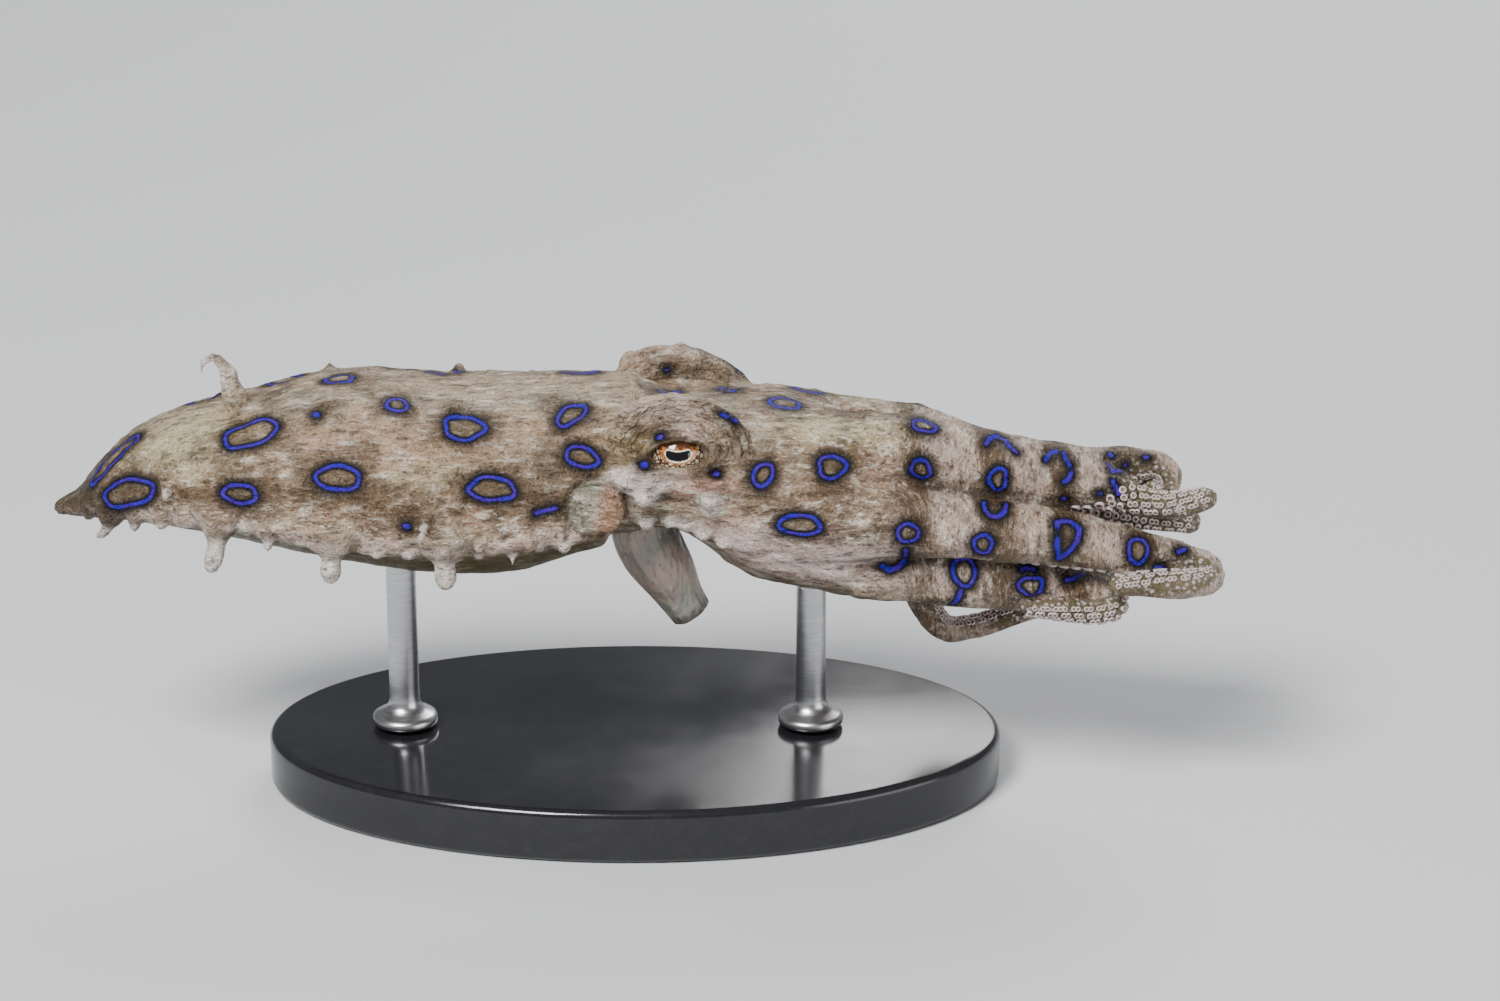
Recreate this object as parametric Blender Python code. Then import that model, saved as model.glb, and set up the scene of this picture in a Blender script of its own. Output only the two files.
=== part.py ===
"""A blue ringed octopus, swimming, as a still life-size model on a display stand.

The body lies along X, with the mantle tip at the low end and the arm tips at the high end.
Z is up. The animal's right side faces -Y. The origin is the middle of the stand's underside.
Sizes are in millimetres, and the meshes are made in metres.
"""

import math
import random

import bmesh
import bpy
import numpy as np
from mathutils import Vector
from mathutils.bvhtree import BVHTree

MM = 0.001
GAP = 0.3

# The body's own axis runs at this height over the floor, through the middle of the mantle.
AXIS_HEIGHT = 24.0
BODY_SHIFT = 0.16

# Mantle: x, height of the side ridge, half width at the ridge, top, bottom.
MANTLE = (
    (-42.2, -2.9, 0.4, -2.5, -3.3),
    (-40.3, -2.6, 2.1, -1.4, -3.3),
    (-38.8, -2.2, 3.5, 0.5, -3.2),
    (-36.7, -1.7, 5.0, 2.5, -3.1),
    (-33.0, -1.2, 6.8, 4.3, -3.5),
    (-28.7, -1.0, 8.2, 5.4, -4.2),
    (-21.1, -2.0, 9.4, 7.1, -5.7),
    (-13.4, -2.3, 9.6, 6.8, -6.9),
    (-8.3, -2.3, 9.2, 6.9, -6.8),
    (-2.5, -1.6, 8.2, 7.0, -5.3),
    (1.5, -1.2, 7.9, 6.9, -4.4),
)
MANTLE_END = -1.6
TAIL_PLACES = (-42.0, -41.3, -40.3, -39.2, -38.0)
MANTLE_RINGS = 20
MANTLE_SIDES = 28
MANTLE_SLANT = 0.22
SLANT_FROM = -9.0
FRINGE_OUT = 0.8
FRINGE_THICK = 0.9

# Head and arm crown: x, height where widest, half width, top, bottom.
TRUNK = (
    (-3.5, 0.2, 7.3, 6.6, -4.0),
    (0.0, 0.7, 7.6, 6.1, -3.7),
    (3.0, 1.0, 7.8, 5.7, -3.7),
    (6.0, 0.3, 8.0, 5.8, -5.7),
    (7.6, -0.2, 8.1, 5.9, -7.0),
    (12.0, -1.3, 8.3, 5.7, -8.3),
    (15.6, -1.9, 8.3, 5.3, -8.9),
    (19.6, -2.4, 8.2, 4.9, -9.6),
)
HEAD_END = 9.3
HEAD_RINGS = 9
HEAD_SIDES = 28
CROWN_END = 19.6
CROWN_CENTRE = (0.0, -2.4)
CROWN_RINGS = 7
CROWN_SIDES = 56
MOUTH_DEPTH = 1.4

# Eye mounds: middle, half lengths, and the eyeball in its socket.
MOUND_MIDDLE = (3.1, 5.6, 3.3)
MOUND_SIZE = (5.5, 2.6, 3.95)
EYE_MIDDLE = (3.3, 5.75, 3.15)
EYE_RADIUS = 2.3
EYE_LOOK = (0.0, 0.93, 0.37)
LID_HALF_LENGTH = 2.25
LID_HALF_HEIGHT = 1.35
LID_THICK = 0.5
LID_STEPS = 14
LID_SIDES = 6
EYE_OPEN_LENGTH = 1.85
EYE_OPEN_HEIGHT = 0.92
WART = (-0.4, 6.0, 6.6, 0.6)
LOBE_MIDDLE = (-2.4, 6.6, 0.1)
LOBE_SIZE = (2.0, 1.5, 2.0)

# Funnel: x, z, outer radius from its root under the head to its open end.
FUNNEL = (
    (0.5, -4.6, 2.7),
    (1.3, -6.2, 2.7),
    (2.3, -7.9, 2.35),
    (3.2, -9.6, 1.9),
    (4.0, -10.9, 1.7),
)
FUNNEL_WALL = 0.55
FUNNEL_DEPTH = 3.0

# Papillae on the fringe of the right side: x, length, root half width, tip half width, sideways lean.
FRINGE_PAPILLAE = (
    (-37.7, 1.5, 0.55, 0.30, -0.5),
    (-35.6, 0.8, 0.40, 0.32, 0.0),
    (-33.5, 0.6, 0.40, 0.35, 0.0),
    (-29.5, 3.6, 0.95, 0.62, -0.5),
    (-25.7, 1.3, 0.55, 0.36, 0.0),
    (-21.2, 2.8, 1.00, 0.62, 0.0),
    (-18.0, 0.7, 0.40, 0.30, 0.2),
    (-15.6, 0.7, 0.40, 0.30, -0.2),
    (-13.2, 2.9, 1.10, 0.66, 0.1),
    (-8.4, 1.1, 0.60, 0.30, 0.0),
    (-4.6, 1.0, 0.45, 0.52, 0.3),
)
# Droplets stand at this share of the half width, under the cheek.
DROPLET_ASIDE = 0.86
# Droplets along the edge of the web under the right cheek: x, drop below the edge, radius.
WEB_DROPLETS = (
    (1.0, 0.7, 0.36),
    (2.6, 0.6, 0.34),
    (3.7, 0.6, 0.34),
    (5.0, 0.6, 0.34),
    (6.4, 0.5, 0.30),
)
# Papillae under the eye: x, y on the left, z, half width.
CHEEK_LENGTH = 1.9
CHEEK_PAPILLAE = (
    (0.7, 7.5, 0.6, 1.25),
    (5.5, 7.8, 0.4, 0.95),
)
# The hooked flap on the back: x, z, half width.
FLAP_ASIDE = -2.0
DORSAL_FLAP = (
    (-28.2, 4.4, 0.95),
    (-28.6, 6.6, 0.80),
    (-29.0, 8.2, 0.55),
    (-29.7, 9.2, 0.36),
    (-30.5, 9.0, 0.28),
    (-30.8, 8.1, 0.25),
)

# Arms: x, y, z, radius along the middle line, from the crown to the tip. facing gives where the
# suckers look, as a share of the length and a direction. cuts are the shares where a length ends.
ARMS = {
    "arm_right_1": {
        "path": (
            (19.9, -3.0, 2.6, 2.55),
            (26.5, -2.5, 1.15, 2.35),
            (30.9, -2.4, 0.3, 2.1),
            (33.8, -2.5, -0.4, 1.65),
            (36.0, -2.8, -1.2, 1.15),
            (38.0, -3.0, -1.6, 0.85),
            (40.0, -3.0, -1.45, 0.7),
            (41.6, -2.9, -1.1, 0.45),
        ),
        "facing": (
            (0.0, (0, 0.6, -0.8)),
            (0.6, (0, 0.3, -0.9)),
            (0.78, (0, -0.9, 0.3)),
            (1.0, (0, -0.5, 0.9)),
        ),
        "cuts": (0.66,),
    },
    "arm_right_2": {
        "path": (
            (19.9, -5.9, -1.9, 2.35),
            (26.5, -5.4, -2.7, 2.15),
            (31.0, -5.1, -3.4, 1.95),
            (35.3, -4.9, -4.3, 1.6),
            (38.4, -4.85, -4.75, 1.15),
            (40.2, -4.9, -5.2, 0.95),
            (41.08, -5.1, -5.5, 0.86),
            (41.45, -5.59, -6.24, 0.8),
            (41.08, -6.07, -6.97, 0.75),
            (40.2, -6.28, -7.28, 0.7),
            (37.6, -6.5, -7.2, 0.64),
            (34.9, -6.6, -6.9, 0.42),
        ),
        "facing": (
            (0.0, (0, 1, 0.1)),
            (0.45, (0, 0.6, -0.8)),
            (0.69, (0, -0.4, -0.9)),
            (0.755, (-1, 0, 0)),
            (0.82, (0, 0.2, 0.95)),
            (1.0, (0, -0.4, 0.9)),
        ),
        "cuts": (0.42, 0.72),
    },
    "arm_right_3": {
        "path": (
            (19.9, -4.6, -6.2, 2.0),
            (26.5, -4.2, -7.1, 1.95),
            (30.5, -4.0, -7.5, 1.5),
            (33.4, -4.1, -7.95, 1.1),
            (34.25, -4.44, -8.03, 1.0),
            (34.6, -5.28, -8.2, 0.92),
            (34.25, -6.1, -8.37, 0.88),
            (33.4, -6.45, -8.43, 0.85),
            (31.2, -6.9, -8.1, 0.85),
            (28.3, -7.1, -7.7, 0.72),
        ),
        "facing": (
            (0.0, (0, 0.8, 0.6)),
            (0.58, (0, 1, 0.15)),
            (0.68, (1, 0, 0)),
            (0.78, (0, -1, -0.2)),
            (1.0, (0, -0.7, -0.7)),
        ),
        "cuts": (0.5, 0.72),
    },
    "arm_right_4": {
        "path": (
            (19.9, -0.7, -7.8, 1.6),
            (26.5, 0.1, -8.6, 1.6),
            (30.9, 0.2, -8.4, 1.35),
            (34.5, 0.2, -7.6, 1.0),
            (37.4, 0.0, -6.8, 0.7),
            (39.6, -0.2, -6.2, 0.42),
        ),
        "facing": ((0.0, (0, 0.1, 1)), (1.0, (0, 0.0, 1))),
        "cuts": (0.55,),
    },
    "arm_left_1": {
        "path": (
            (19.9, 2.8, 2.0, 2.1),
            (26.5, 2.1, -0.1, 2.0),
            (30.9, 2.0, -0.6, 1.85),
            (33.8, 2.0, -0.7, 1.65),
            (36.2, 2.0, -0.4, 1.3),
            (37.7, 1.95, -0.25, 1.0),
            (38.5, 1.85, -0.6, 0.9),
            (38.85, 1.7, -1.4, 0.78),
            (38.5, 1.55, -2.2, 0.62),
            (37.7, 1.4, -2.55, 0.42),
        ),
        "facing": (
            (0.0, (0, -0.5, -0.9)),
            (0.83, (0, -0.2, -1)),
            (0.915, (-1, 0, 0)),
            (1.0, (0, 0, 1)),
        ),
        "cuts": (0.6,),
    },
    "arm_left_2": {
        "path": (
            (19.9, 5.9, -1.5, 1.9),
            (26.5, 5.3, -3.2, 1.9),
            (30.9, 4.9, -3.7, 1.7),
            (34.5, 4.5, -3.9, 1.4),
            (38.1, 4.0, -4.2, 1.0),
            (40.9, 3.6, -4.8, 0.45),
        ),
        "facing": ((0.0, (0, -1, -0.2)), (1.0, (0, -1, 0.2))),
        "cuts": (0.55,),
    },
    "arm_left_3": {
        "path": (
            (19.9, 5.5, -5.6, 1.8),
            (26.5, 5.0, -7.4, 1.8),
            (30.9, 4.6, -7.8, 1.6),
            (34.5, 4.2, -7.8, 1.25),
            (38.1, 3.8, -7.6, 0.85),
            (40.3, 3.6, -7.4, 0.42),
        ),
        "facing": ((0.0, (0, -0.8, 0.6)), (1.0, (0, -0.6, 0.8))),
        "cuts": (0.55,),
    },
    "arm_left_4": {
        "path": (
            (19.9, 2.9, -8.4, 1.5),
            (20.9, 3.0, -10.2, 1.35),
            (21.5, 3.0, -12.0, 1.05),
            (22.8, 3.0, -13.5, 0.9),
            (25.0, 3.0, -13.4, 0.85),
            (27.6, 3.0, -12.5, 0.8),
            (30.0, 3.0, -11.8, 0.7),
            (32.4, 3.0, -11.0, 0.42),
        ),
        "facing": ((0.0, (1, 0, 0)), (0.25, (1, 0, 0.2)), (0.5, (0, 0, 1)), (1.0, (0, 0, 1))),
        "cuts": (0.36,),
    },
}
ARM_SIDES = 10
ARM_RING_STEP = 1.5
SUCKER_SHARE = 0.3
SUCKER_LEAST = 0.24
SUCKER_MOST_SHARE = 0.42
SUCKER_SPACING = 3.5
SUCKER_ROW_ANGLE = math.radians(30)
SUCKER_FIRST = 0.9
SUCKER_END_ROOM = 1.4
SUCKER_SIDES = 5

# Display stand: an oval plate and two rods.
PLATE_HALF_LENGTH = 27.0
PLATE_HALF_WIDTH = 16.0
PLATE_THICK = 4.0
PLATE_EDGE = 0.6
ROD_RADIUS = 1.1
ROD_FOOT_RADIUS = 2.4
ROD_FOOT_HEIGHT = 1.0
ROD_PLACES = {"stand_rod_rear": -17.0, "stand_rod_front": 13.0}

COLOURS = {
    "skin": ((0.36, 0.27, 0.22, 1.0), 0.5, 0.0),
    "pale_skin": ((0.45, 0.38, 0.36, 1.0), 0.45, 0.0),
    "eye": ((0.37, 0.17, 0.08, 1.0), 0.1, 0.0),
    "funnel": ((0.2, 0.17, 0.15, 1.0), 0.4, 0.0),
    "plate": ((0.03, 0.03, 0.035, 1.0), 0.35, 0.0),
    "rod": ((0.6, 0.6, 0.6, 1.0), 0.3, 1.0),
}


def through(keys, at):
    """A smooth curve through the keys: cubic pieces whose slopes come from the neighbouring keys."""
    keys = np.asarray(keys, dtype=float)
    place = keys[:, 0]
    value = keys[:, 1:]
    slope = np.gradient(value, place, axis=0)
    at = np.clip(np.atleast_1d(np.asarray(at, dtype=float)), place[0], place[-1])
    i = np.clip(np.searchsorted(place, at, side="right") - 1, 0, len(place) - 2)
    width = (place[i + 1] - place[i])[:, None]
    t = (at - place[i])[:, None] / width
    rise = 2 * t**3 - 3 * t**2
    start = (1 + rise) * value[i] + (t**3 - 2 * t**2 + t) * width * slope[i]
    end = -rise * value[i + 1] + (t**3 - t**2) * width * slope[i + 1]
    return start + end


def unit(vectors):
    """The vectors, each one long."""
    return vectors / np.linalg.norm(vectors, axis=-1, keepdims=True)


def material(name):
    """The part's material of that name, made once."""
    found = bpy.data.materials.get(name)
    if found:
        return found
    colour, roughness, metallic = COLOURS[name]
    made = bpy.data.materials.new(name)
    made.use_nodes = True
    shader = made.node_tree.nodes["Principled BSDF"]
    shader.inputs["Base Color"].default_value = colour
    shader.inputs["Roughness"].default_value = roughness
    shader.inputs["Metallic"].default_value = metallic
    return made


def make_object(name, vertices, faces, finish="skin"):
    """One closed mesh object from vertices in millimetres, its faces turned outwards."""
    mesh = bpy.data.meshes.new(name)
    mesh.from_pydata((np.asarray(vertices) * MM).tolist(), [], faces)
    work = bmesh.new()
    work.from_mesh(mesh)
    bmesh.ops.recalc_face_normals(work, faces=work.faces)
    work.to_mesh(mesh)
    work.free()
    mesh.materials.append(material(finish))
    mesh.shade_smooth()
    made = bpy.data.objects.new(name, mesh)
    bpy.context.scene.collection.objects.link(made)
    return made


def loft(name, rings, first, last, finish="skin"):
    """A closed skin over rings of equal counts, with a fan to a middle point at both ends."""
    rings = np.asarray(rings)
    count, sides = rings.shape[:2]
    vertices = np.vstack([rings.reshape(-1, 3), first, last])
    low = count * sides
    high = low + 1
    faces = []
    for side in range(sides):
        after = (side + 1) % sides
        faces.append((low, after, side))
        end = (count - 1) * sides
        faces.append((high, end + side, end + after))
        for ring in range(count - 1):
            here = ring * sides
            there = here + sides
            faces.append((here + side, here + after, there + after, there + side))
    return make_object(name, vertices, faces, finish)


def ellipsoid(name, middle, size, around, rows, finish="skin"):
    """A closed egg with its poles on X."""
    turn = np.linspace(0, 2 * math.pi, around, endpoint=False)
    tip = np.linspace(0, math.pi, rows + 1)[1:-1]
    rings = [
        np.stack(
            [
                np.full(around, middle[0] - size[0] * math.cos(a)),
                middle[1] + size[1] * math.sin(a) * np.cos(turn),
                middle[2] + size[2] * math.sin(a) * np.sin(turn),
            ],
            axis=1,
        )
        for a in tip
    ]
    first = (middle[0] - size[0], middle[1], middle[2])
    last = (middle[0] + size[0], middle[1], middle[2])
    return loft(name, rings, first, last, finish)


def apply_boolean(target, pieces, operation, solver="EXACT"):
    """Join the closed pieces to the target, or cut them from it, in one Boolean."""
    group = bpy.data.collections.new(target.name + "_pieces")
    bpy.context.scene.collection.children.link(group)
    for piece in pieces:
        bpy.context.scene.collection.objects.unlink(piece)
        group.objects.link(piece)
    modifier = target.modifiers.new("pieces", "BOOLEAN")
    modifier.operand_type = "COLLECTION"
    modifier.collection = group
    modifier.operation = operation
    modifier.solver = solver
    graph = bpy.context.evaluated_depsgraph_get()
    mesh = bpy.data.meshes.new_from_object(target.evaluated_get(graph))
    target.modifiers.clear()
    old = target.data
    target.data = mesh
    bpy.data.meshes.remove(old)
    for piece in pieces:
        bpy.data.objects.remove(piece)
    bpy.data.collections.remove(group)
    keep_largest(target)


def keep_largest(target):
    """Leave only the largest closed surface of the object's mesh."""
    work = bmesh.new()
    work.from_mesh(target.data)
    left = set(work.faces)
    shells = []
    while left:
        shell = {left.pop()}
        edge = list(shell)
        while edge:
            face = edge.pop()
            for side in face.edges:
                for other in side.link_faces:
                    if other in left:
                        left.remove(other)
                        shell.add(other)
                        edge.append(other)
        shells.append(shell)
    shells.sort(key=lambda shell: sum(face.calc_area() for face in shell))
    for shell in shells[:-1]:
        bmesh.ops.delete(work, geom=list(shell), context="FACES")
    work.to_mesh(target.data)
    work.free()


def section(sizes, sides, ridge_out=0.0, ridge_thick=0.0, upper=2.2, lower=2.0):
    """A closed cross-section in Y and Z: a rounded upper half on a rounded lower half, which is
    drawn in by ridge_out under a side ridge that is ridge_thick high."""
    ridge, half, top, bottom = sizes
    turn = np.linspace(0, 2 * math.pi, sides, endpoint=False)
    across = np.cos(turn)
    up = np.sin(turn)
    power = np.where(up >= 0, 2 / upper, 2 / lower)
    wide = np.sign(across) * np.abs(across) ** power
    high = np.sign(up) * np.abs(up) ** power
    under = np.clip(-up / 0.35, 0, 1)
    reach = half - ridge_out * under
    y = reach * wide
    drop = np.where(up >= 0, top - ridge, ridge - bottom)
    z = ridge + drop * high - ridge_thick * np.where(up < 0, np.clip(1 - under, 0, 1) * under * 2, 0)
    return np.stack([y, z], axis=1)


def slanted(x, z):
    """How far a point at height z moves along X where the mantle's open edge leans forwards."""
    share = np.clip((x - SLANT_FROM) / (MANTLE_END - SLANT_FROM), 0, 1)
    return x + MANTLE_SLANT * share * z


def ring_at(x, outline, slant=True):
    """A cross-section's outline set at x, leaning with the mantle's edge."""
    lean = slanted(x, outline[:, 1]) if slant else np.full(len(outline), x)
    return np.column_stack([lean, outline])


def rise(points):
    """The points lifted from the body's own axis to their height over the floor."""
    return np.asarray(points) + np.array([BODY_SHIFT, 0.0, AXIS_HEIGHT])


def papilla(name, root, direction, length, root_half, tip_half, bend=(0, 0, 0), sides=6):
    """A fleshy point: a wide foot sunk in the skin, a waist and a round tip, bent as it goes."""
    root = np.asarray(root, dtype=float)
    direction = unit(np.asarray(direction, dtype=float))
    bend = np.asarray(bend, dtype=float)
    side = unit(np.cross(direction, (0.0, 0.0, 1.0) if abs(direction[2]) < 0.9 else (0.0, 1.0, 0.0)))
    other = np.cross(direction, side)
    shares = np.array([-0.32, 0.3, 0.85])
    halves = np.array([root_half, 0.5 * root_half + 0.25 * tip_half, tip_half])
    turn = np.linspace(0, 2 * math.pi, sides, endpoint=False)
    rings = []
    for share, half in zip(shares, halves):
        middle = root + direction * length * share + bend * max(share, 0) ** 2
        circle = np.outer(np.cos(turn), side) + np.outer(np.sin(turn), other)
        rings.append(middle + circle * half)
    first = root + direction * length * shares[0]
    last = root + direction * length * 1.06 + bend
    return loft(name, rings, first, last)


def fringe_point(x, hand):
    """The place on the mantle's side ridge at x, on the right for hand -1 and the left for 1."""
    ridge, half = through(MANTLE, x)[0][:2]
    return np.array([slanted(x, ridge), hand * half, ridge])


def build_mantle():
    """The mantle, with its fringe, the papillae that hang from it, and the flap on its back."""
    places = np.concatenate([TAIL_PLACES, np.linspace(TAIL_PLACES[-1] + 1.3, MANTLE_END, MANTLE_RINGS)])
    rings = []
    for x in places:
        sizes = through(MANTLE, x)[0]
        share = min(sizes[1] / 6.0, 1.0)
        wave = 1 + 0.012 * math.sin(x * 2.3) + 0.008 * math.sin(x * 5.1)
        sizes[1] *= wave
        outline = section(sizes, MANTLE_SIDES, FRINGE_OUT * share, FRINGE_THICK * share)
        rings.append(ring_at(x, outline))
    ends = through(MANTLE, [places[0], places[-1]])
    first = (places[0] - 0.35, 0.0, ends[0][0])
    last = (slanted(MANTLE_END, 1.0), 0.0, 1.0)
    mantle = loft("mantle", rise(rings), rise(first), rise(last))
    pieces = []
    draw = random.Random(7)
    for hand in (-1, 1):
        for i, (x, length, root_half, tip_half, lean) in enumerate(FRINGE_PAPILLAE):
            if hand > 0:
                x += draw.uniform(-0.9, 0.9)
                length *= draw.uniform(0.8, 1.15)
            root = fringe_point(x, hand) + np.array([0, -hand * 0.35, -0.25])
            down = (0.05 * lean, 0.25 * hand, -1.0)
            bend = (lean, 0.1 * hand, 0)
            tag = "papilla_%d_%d" % (i, hand)
            pieces.append(papilla(tag, rise(root), down, length, root_half, tip_half, bend))
    flap = np.array([(x, FLAP_ASIDE, z) for x, z, half in DORSAL_FLAP])
    halves = [half for x, z, half in DORSAL_FLAP]
    pieces.append(tube("flap", rise(flap), halves, 7))
    apply_boolean(mantle, pieces, "UNION")
    rooms = []
    for hand in (-1, 1):
        rooms.extend(head_swellings(hand, GAP))
    apply_boolean(mantle, rooms, "DIFFERENCE")
    return mantle


def head_swellings(hand, more=0.0):
    """The eye mound, its wart and the lobe in the mantle's opening, or room for them."""
    tag = "right" if hand < 0 else "left"
    wart = mirrored(WART[:3], hand)
    return [
        ellipsoid("mound_" + tag, rise(mirrored(MOUND_MIDDLE, hand)), np.array(MOUND_SIZE) + more, 14, 8),
        ellipsoid("lobe_" + tag, rise(mirrored(LOBE_MIDDLE, hand)), np.array(LOBE_SIZE) + more, 10, 6),
        ellipsoid("wart_" + tag, rise(wart), np.full(3, WART[3]) + more, 8, 4),
    ]


def tube(name, path, halves, sides):
    """A round tapered tube along a short path, its frame carried from ring to ring."""
    path = np.asarray(path, dtype=float)
    along = unit(np.gradient(path, axis=0))
    side = unit(np.cross(along[0], (0.0, 1.0, 0.0)))
    turn = np.linspace(0, 2 * math.pi, sides, endpoint=False)
    rings = []
    for middle, way, half in zip(path, along, halves):
        side = unit(side - way * np.dot(side, way))
        other = np.cross(way, side)
        circle = np.outer(np.cos(turn), side) + np.outer(np.sin(turn), other)
        rings.append(middle + circle * half)
    last = path[-1] + along[-1] * halves[-1] * 0.8
    return loft(name, rings, path[0], last)


def mirrored(place, hand):
    """A place on the left of the body, or the same one on the right for hand -1."""
    return np.array([place[0], place[1] * hand, place[2]])


def lid_ring(name, hand):
    """The raised rim of both lids, an oval ring round the eye's opening."""
    look = unit(np.array([EYE_LOOK[0], EYE_LOOK[1] * hand, EYE_LOOK[2]]))
    along = np.array([1.0, 0.0, 0.0])
    up = unit(np.cross(along, look) * hand)
    middle = mirrored(EYE_MIDDLE, hand) + look * (EYE_RADIUS - 0.25)
    around = np.linspace(0, 2 * math.pi, LID_STEPS, endpoint=False)
    turn = np.linspace(0, 2 * math.pi, LID_SIDES, endpoint=False)
    vertices = []
    for angle in around:
        out = along * math.cos(angle) * LID_HALF_LENGTH + up * math.sin(angle) * LID_HALF_HEIGHT
        dip = look * -0.35 * math.cos(angle) ** 2
        away = unit(out)
        for t in turn:
            vertices.append(middle + out + dip + (away * math.cos(t) + look * math.sin(t)) * LID_THICK)
    faces = []
    for i in range(LID_STEPS):
        for j in range(LID_SIDES):
            here = i * LID_SIDES
            there = (i + 1) % LID_STEPS * LID_SIDES
            after = (j + 1) % LID_SIDES
            faces.append((here + j, here + after, there + after, there + j))
    return make_object(name, rise(vertices), faces)


def eye_cutter(name, hand):
    """The oval way out of the socket, through the lids."""
    look = unit(np.array([EYE_LOOK[0], EYE_LOOK[1] * hand, EYE_LOOK[2]]))
    along = np.array([1.0, 0.0, 0.0])
    up = np.cross(along, look)
    around = np.linspace(0, 2 * math.pi, LID_STEPS, endpoint=False)
    oval = np.outer(np.cos(around) * EYE_OPEN_LENGTH, along)
    oval += np.outer(np.sin(around) * EYE_OPEN_HEIGHT, up)
    start = mirrored(EYE_MIDDLE, hand) + look * 0.8
    end = mirrored(EYE_MIDDLE, hand) + look * 4.5
    return loft(name, rise([start + oval, end + oval * 1.5]), rise(start), rise(end))


def build_head():
    """The head from the mantle's edge to the arm crown, with mounds, lids, warts and cheeks."""
    places = np.concatenate([[MANTLE_END + GAP], np.linspace(-0.4, HEAD_END, HEAD_RINGS)])
    rings = []
    for x in places:
        share = np.clip(1 - (x - MANTLE_END) / 5.0, 0, 1)
        outline = section(through(TRUNK, x)[0], HEAD_SIDES)
        lean = x + MANTLE_SLANT * share * outline[:, 1]
        rings.append(np.column_stack([lean, outline]))
    start = (rings[0][:, 0].mean(), 0.0, 1.0)
    head = loft("head", rise(rings), rise(start), rise((HEAD_END, 0.0, 0.0)))
    pieces = []
    for hand in (-1, 1):
        tag = "right" if hand < 0 else "left"
        pieces.extend(head_swellings(hand))
        pieces.append(lid_ring("lids_" + tag, hand))
        for i, (x, y, z, half) in enumerate(CHEEK_PAPILLAE):
            root = mirrored((x, y, z + 0.6), hand)
            down = (0.0, 0.45 * hand, -1.0)
            name = "cheek_%d_%s" % (i, tag)
            pieces.append(papilla(name, rise(root), down, CHEEK_LENGTH, half, half * 0.8, sides=8))
        for i, (x, drop, half) in enumerate(WEB_DROPLETS):
            ridge, wide, top, bottom = through(TRUNK, x)[0]
            z = ridge - (ridge - bottom) * math.sqrt(1 - DROPLET_ASIDE**2)
            root = mirrored((x, DROPLET_ASIDE * wide, z + half), hand)
            down = (0.0, 0.4 * hand, -1.0)
            name = "droplet_%d_%s" % (i, tag)
            pieces.append(papilla(name, rise(root), down, drop + half, half * 1.3, half, sides=5))
    apply_boolean(head, pieces, "UNION")
    rooms = []
    for hand in (-1, 1):
        middle = rise(mirrored(EYE_MIDDLE, hand))
        rooms.append(ellipsoid("socket_%d" % hand, middle, (EYE_RADIUS + GAP,) * 3, 14, 10))
        rooms.append(eye_cutter("opening_%d" % hand, hand))
    apply_boolean(head, rooms, "DIFFERENCE")
    return head


def build_eyes():
    """Both eyeballs, each in its socket."""
    for hand, name in ((-1, "eye_right"), (1, "eye_left")):
        ellipsoid(name, rise(mirrored(EYE_MIDDLE, hand)), (EYE_RADIUS,) * 3, 14, 10, "eye")


def lobed(angle):
    """How far the crown reaches in a direction: the outermost of the eight arm roots there."""
    way = np.stack([np.cos(angle), np.sin(angle)], axis=1)
    reach = np.zeros(len(angle))
    for arm in ARMS.values():
        x, y, z, half = arm["path"][0]
        to_root = np.array([y, z]) - np.array(CROWN_CENTRE)
        along = way @ to_root
        aside = np.abs(way @ np.array([-to_root[1], to_root[0]]))
        depth = half**2 - aside**2
        hit = np.where(depth > 0, along + np.sqrt(np.maximum(depth, 0)), 0)
        web = np.where(along > 0, np.exp(-(aside / (half * 1.35)) ** 4) * (along + half * 0.55), 0)
        reach = np.maximum(reach, np.maximum(hit, web))
    return reach


def build_crown():
    """The crown: the roots of the arms and the web that joins them, round at the head and lobed
    where the arms part."""
    sides = CROWN_SIDES
    places = np.linspace(HEAD_END + GAP, CROWN_END, CROWN_RINGS)
    rings = []
    for x in places:
        outline = section(through(TRUNK, x)[0], sides)
        from_centre = outline - np.array(CROWN_CENTRE)
        angle = np.arctan2(from_centre[:, 1], from_centre[:, 0])
        plain = np.linalg.norm(from_centre, axis=1)
        share = ((x - places[0]) / (places[-1] - places[0])) ** 2
        reach = plain * (1 - share) + lobed(angle) * share
        way = np.stack([np.cos(angle), np.sin(angle)], axis=1)
        points = np.array(CROWN_CENTRE) + way * reach[:, None]
        rings.append(np.column_stack([np.full(sides, x), points]))
    inner = rings[-1] * 1.0
    inner[:, 1:] = np.array(CROWN_CENTRE) + 0.2 * (inner[:, 1:] - np.array(CROWN_CENTRE))
    rings.append(inner)
    start = (places[0], 0.0, -0.5)
    mouth = (CROWN_END - MOUTH_DEPTH, CROWN_CENTRE[0], CROWN_CENTRE[1])
    return loft("arm_crown", rise(rings), rise(start), rise(mouth))


def underside(name, x, y):
    """The height, over the body's own axis, at which a line straight up meets the named object."""
    tree = BVHTree.FromObject(bpy.data.objects[name], bpy.context.evaluated_depsgraph_get())
    hit = tree.ray_cast(Vector(((x + BODY_SHIFT) * MM, y * MM, 0.0)), Vector((0.0, 0.0, 1.0)))
    return hit[0].z / MM - AXIS_HEIGHT


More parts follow.
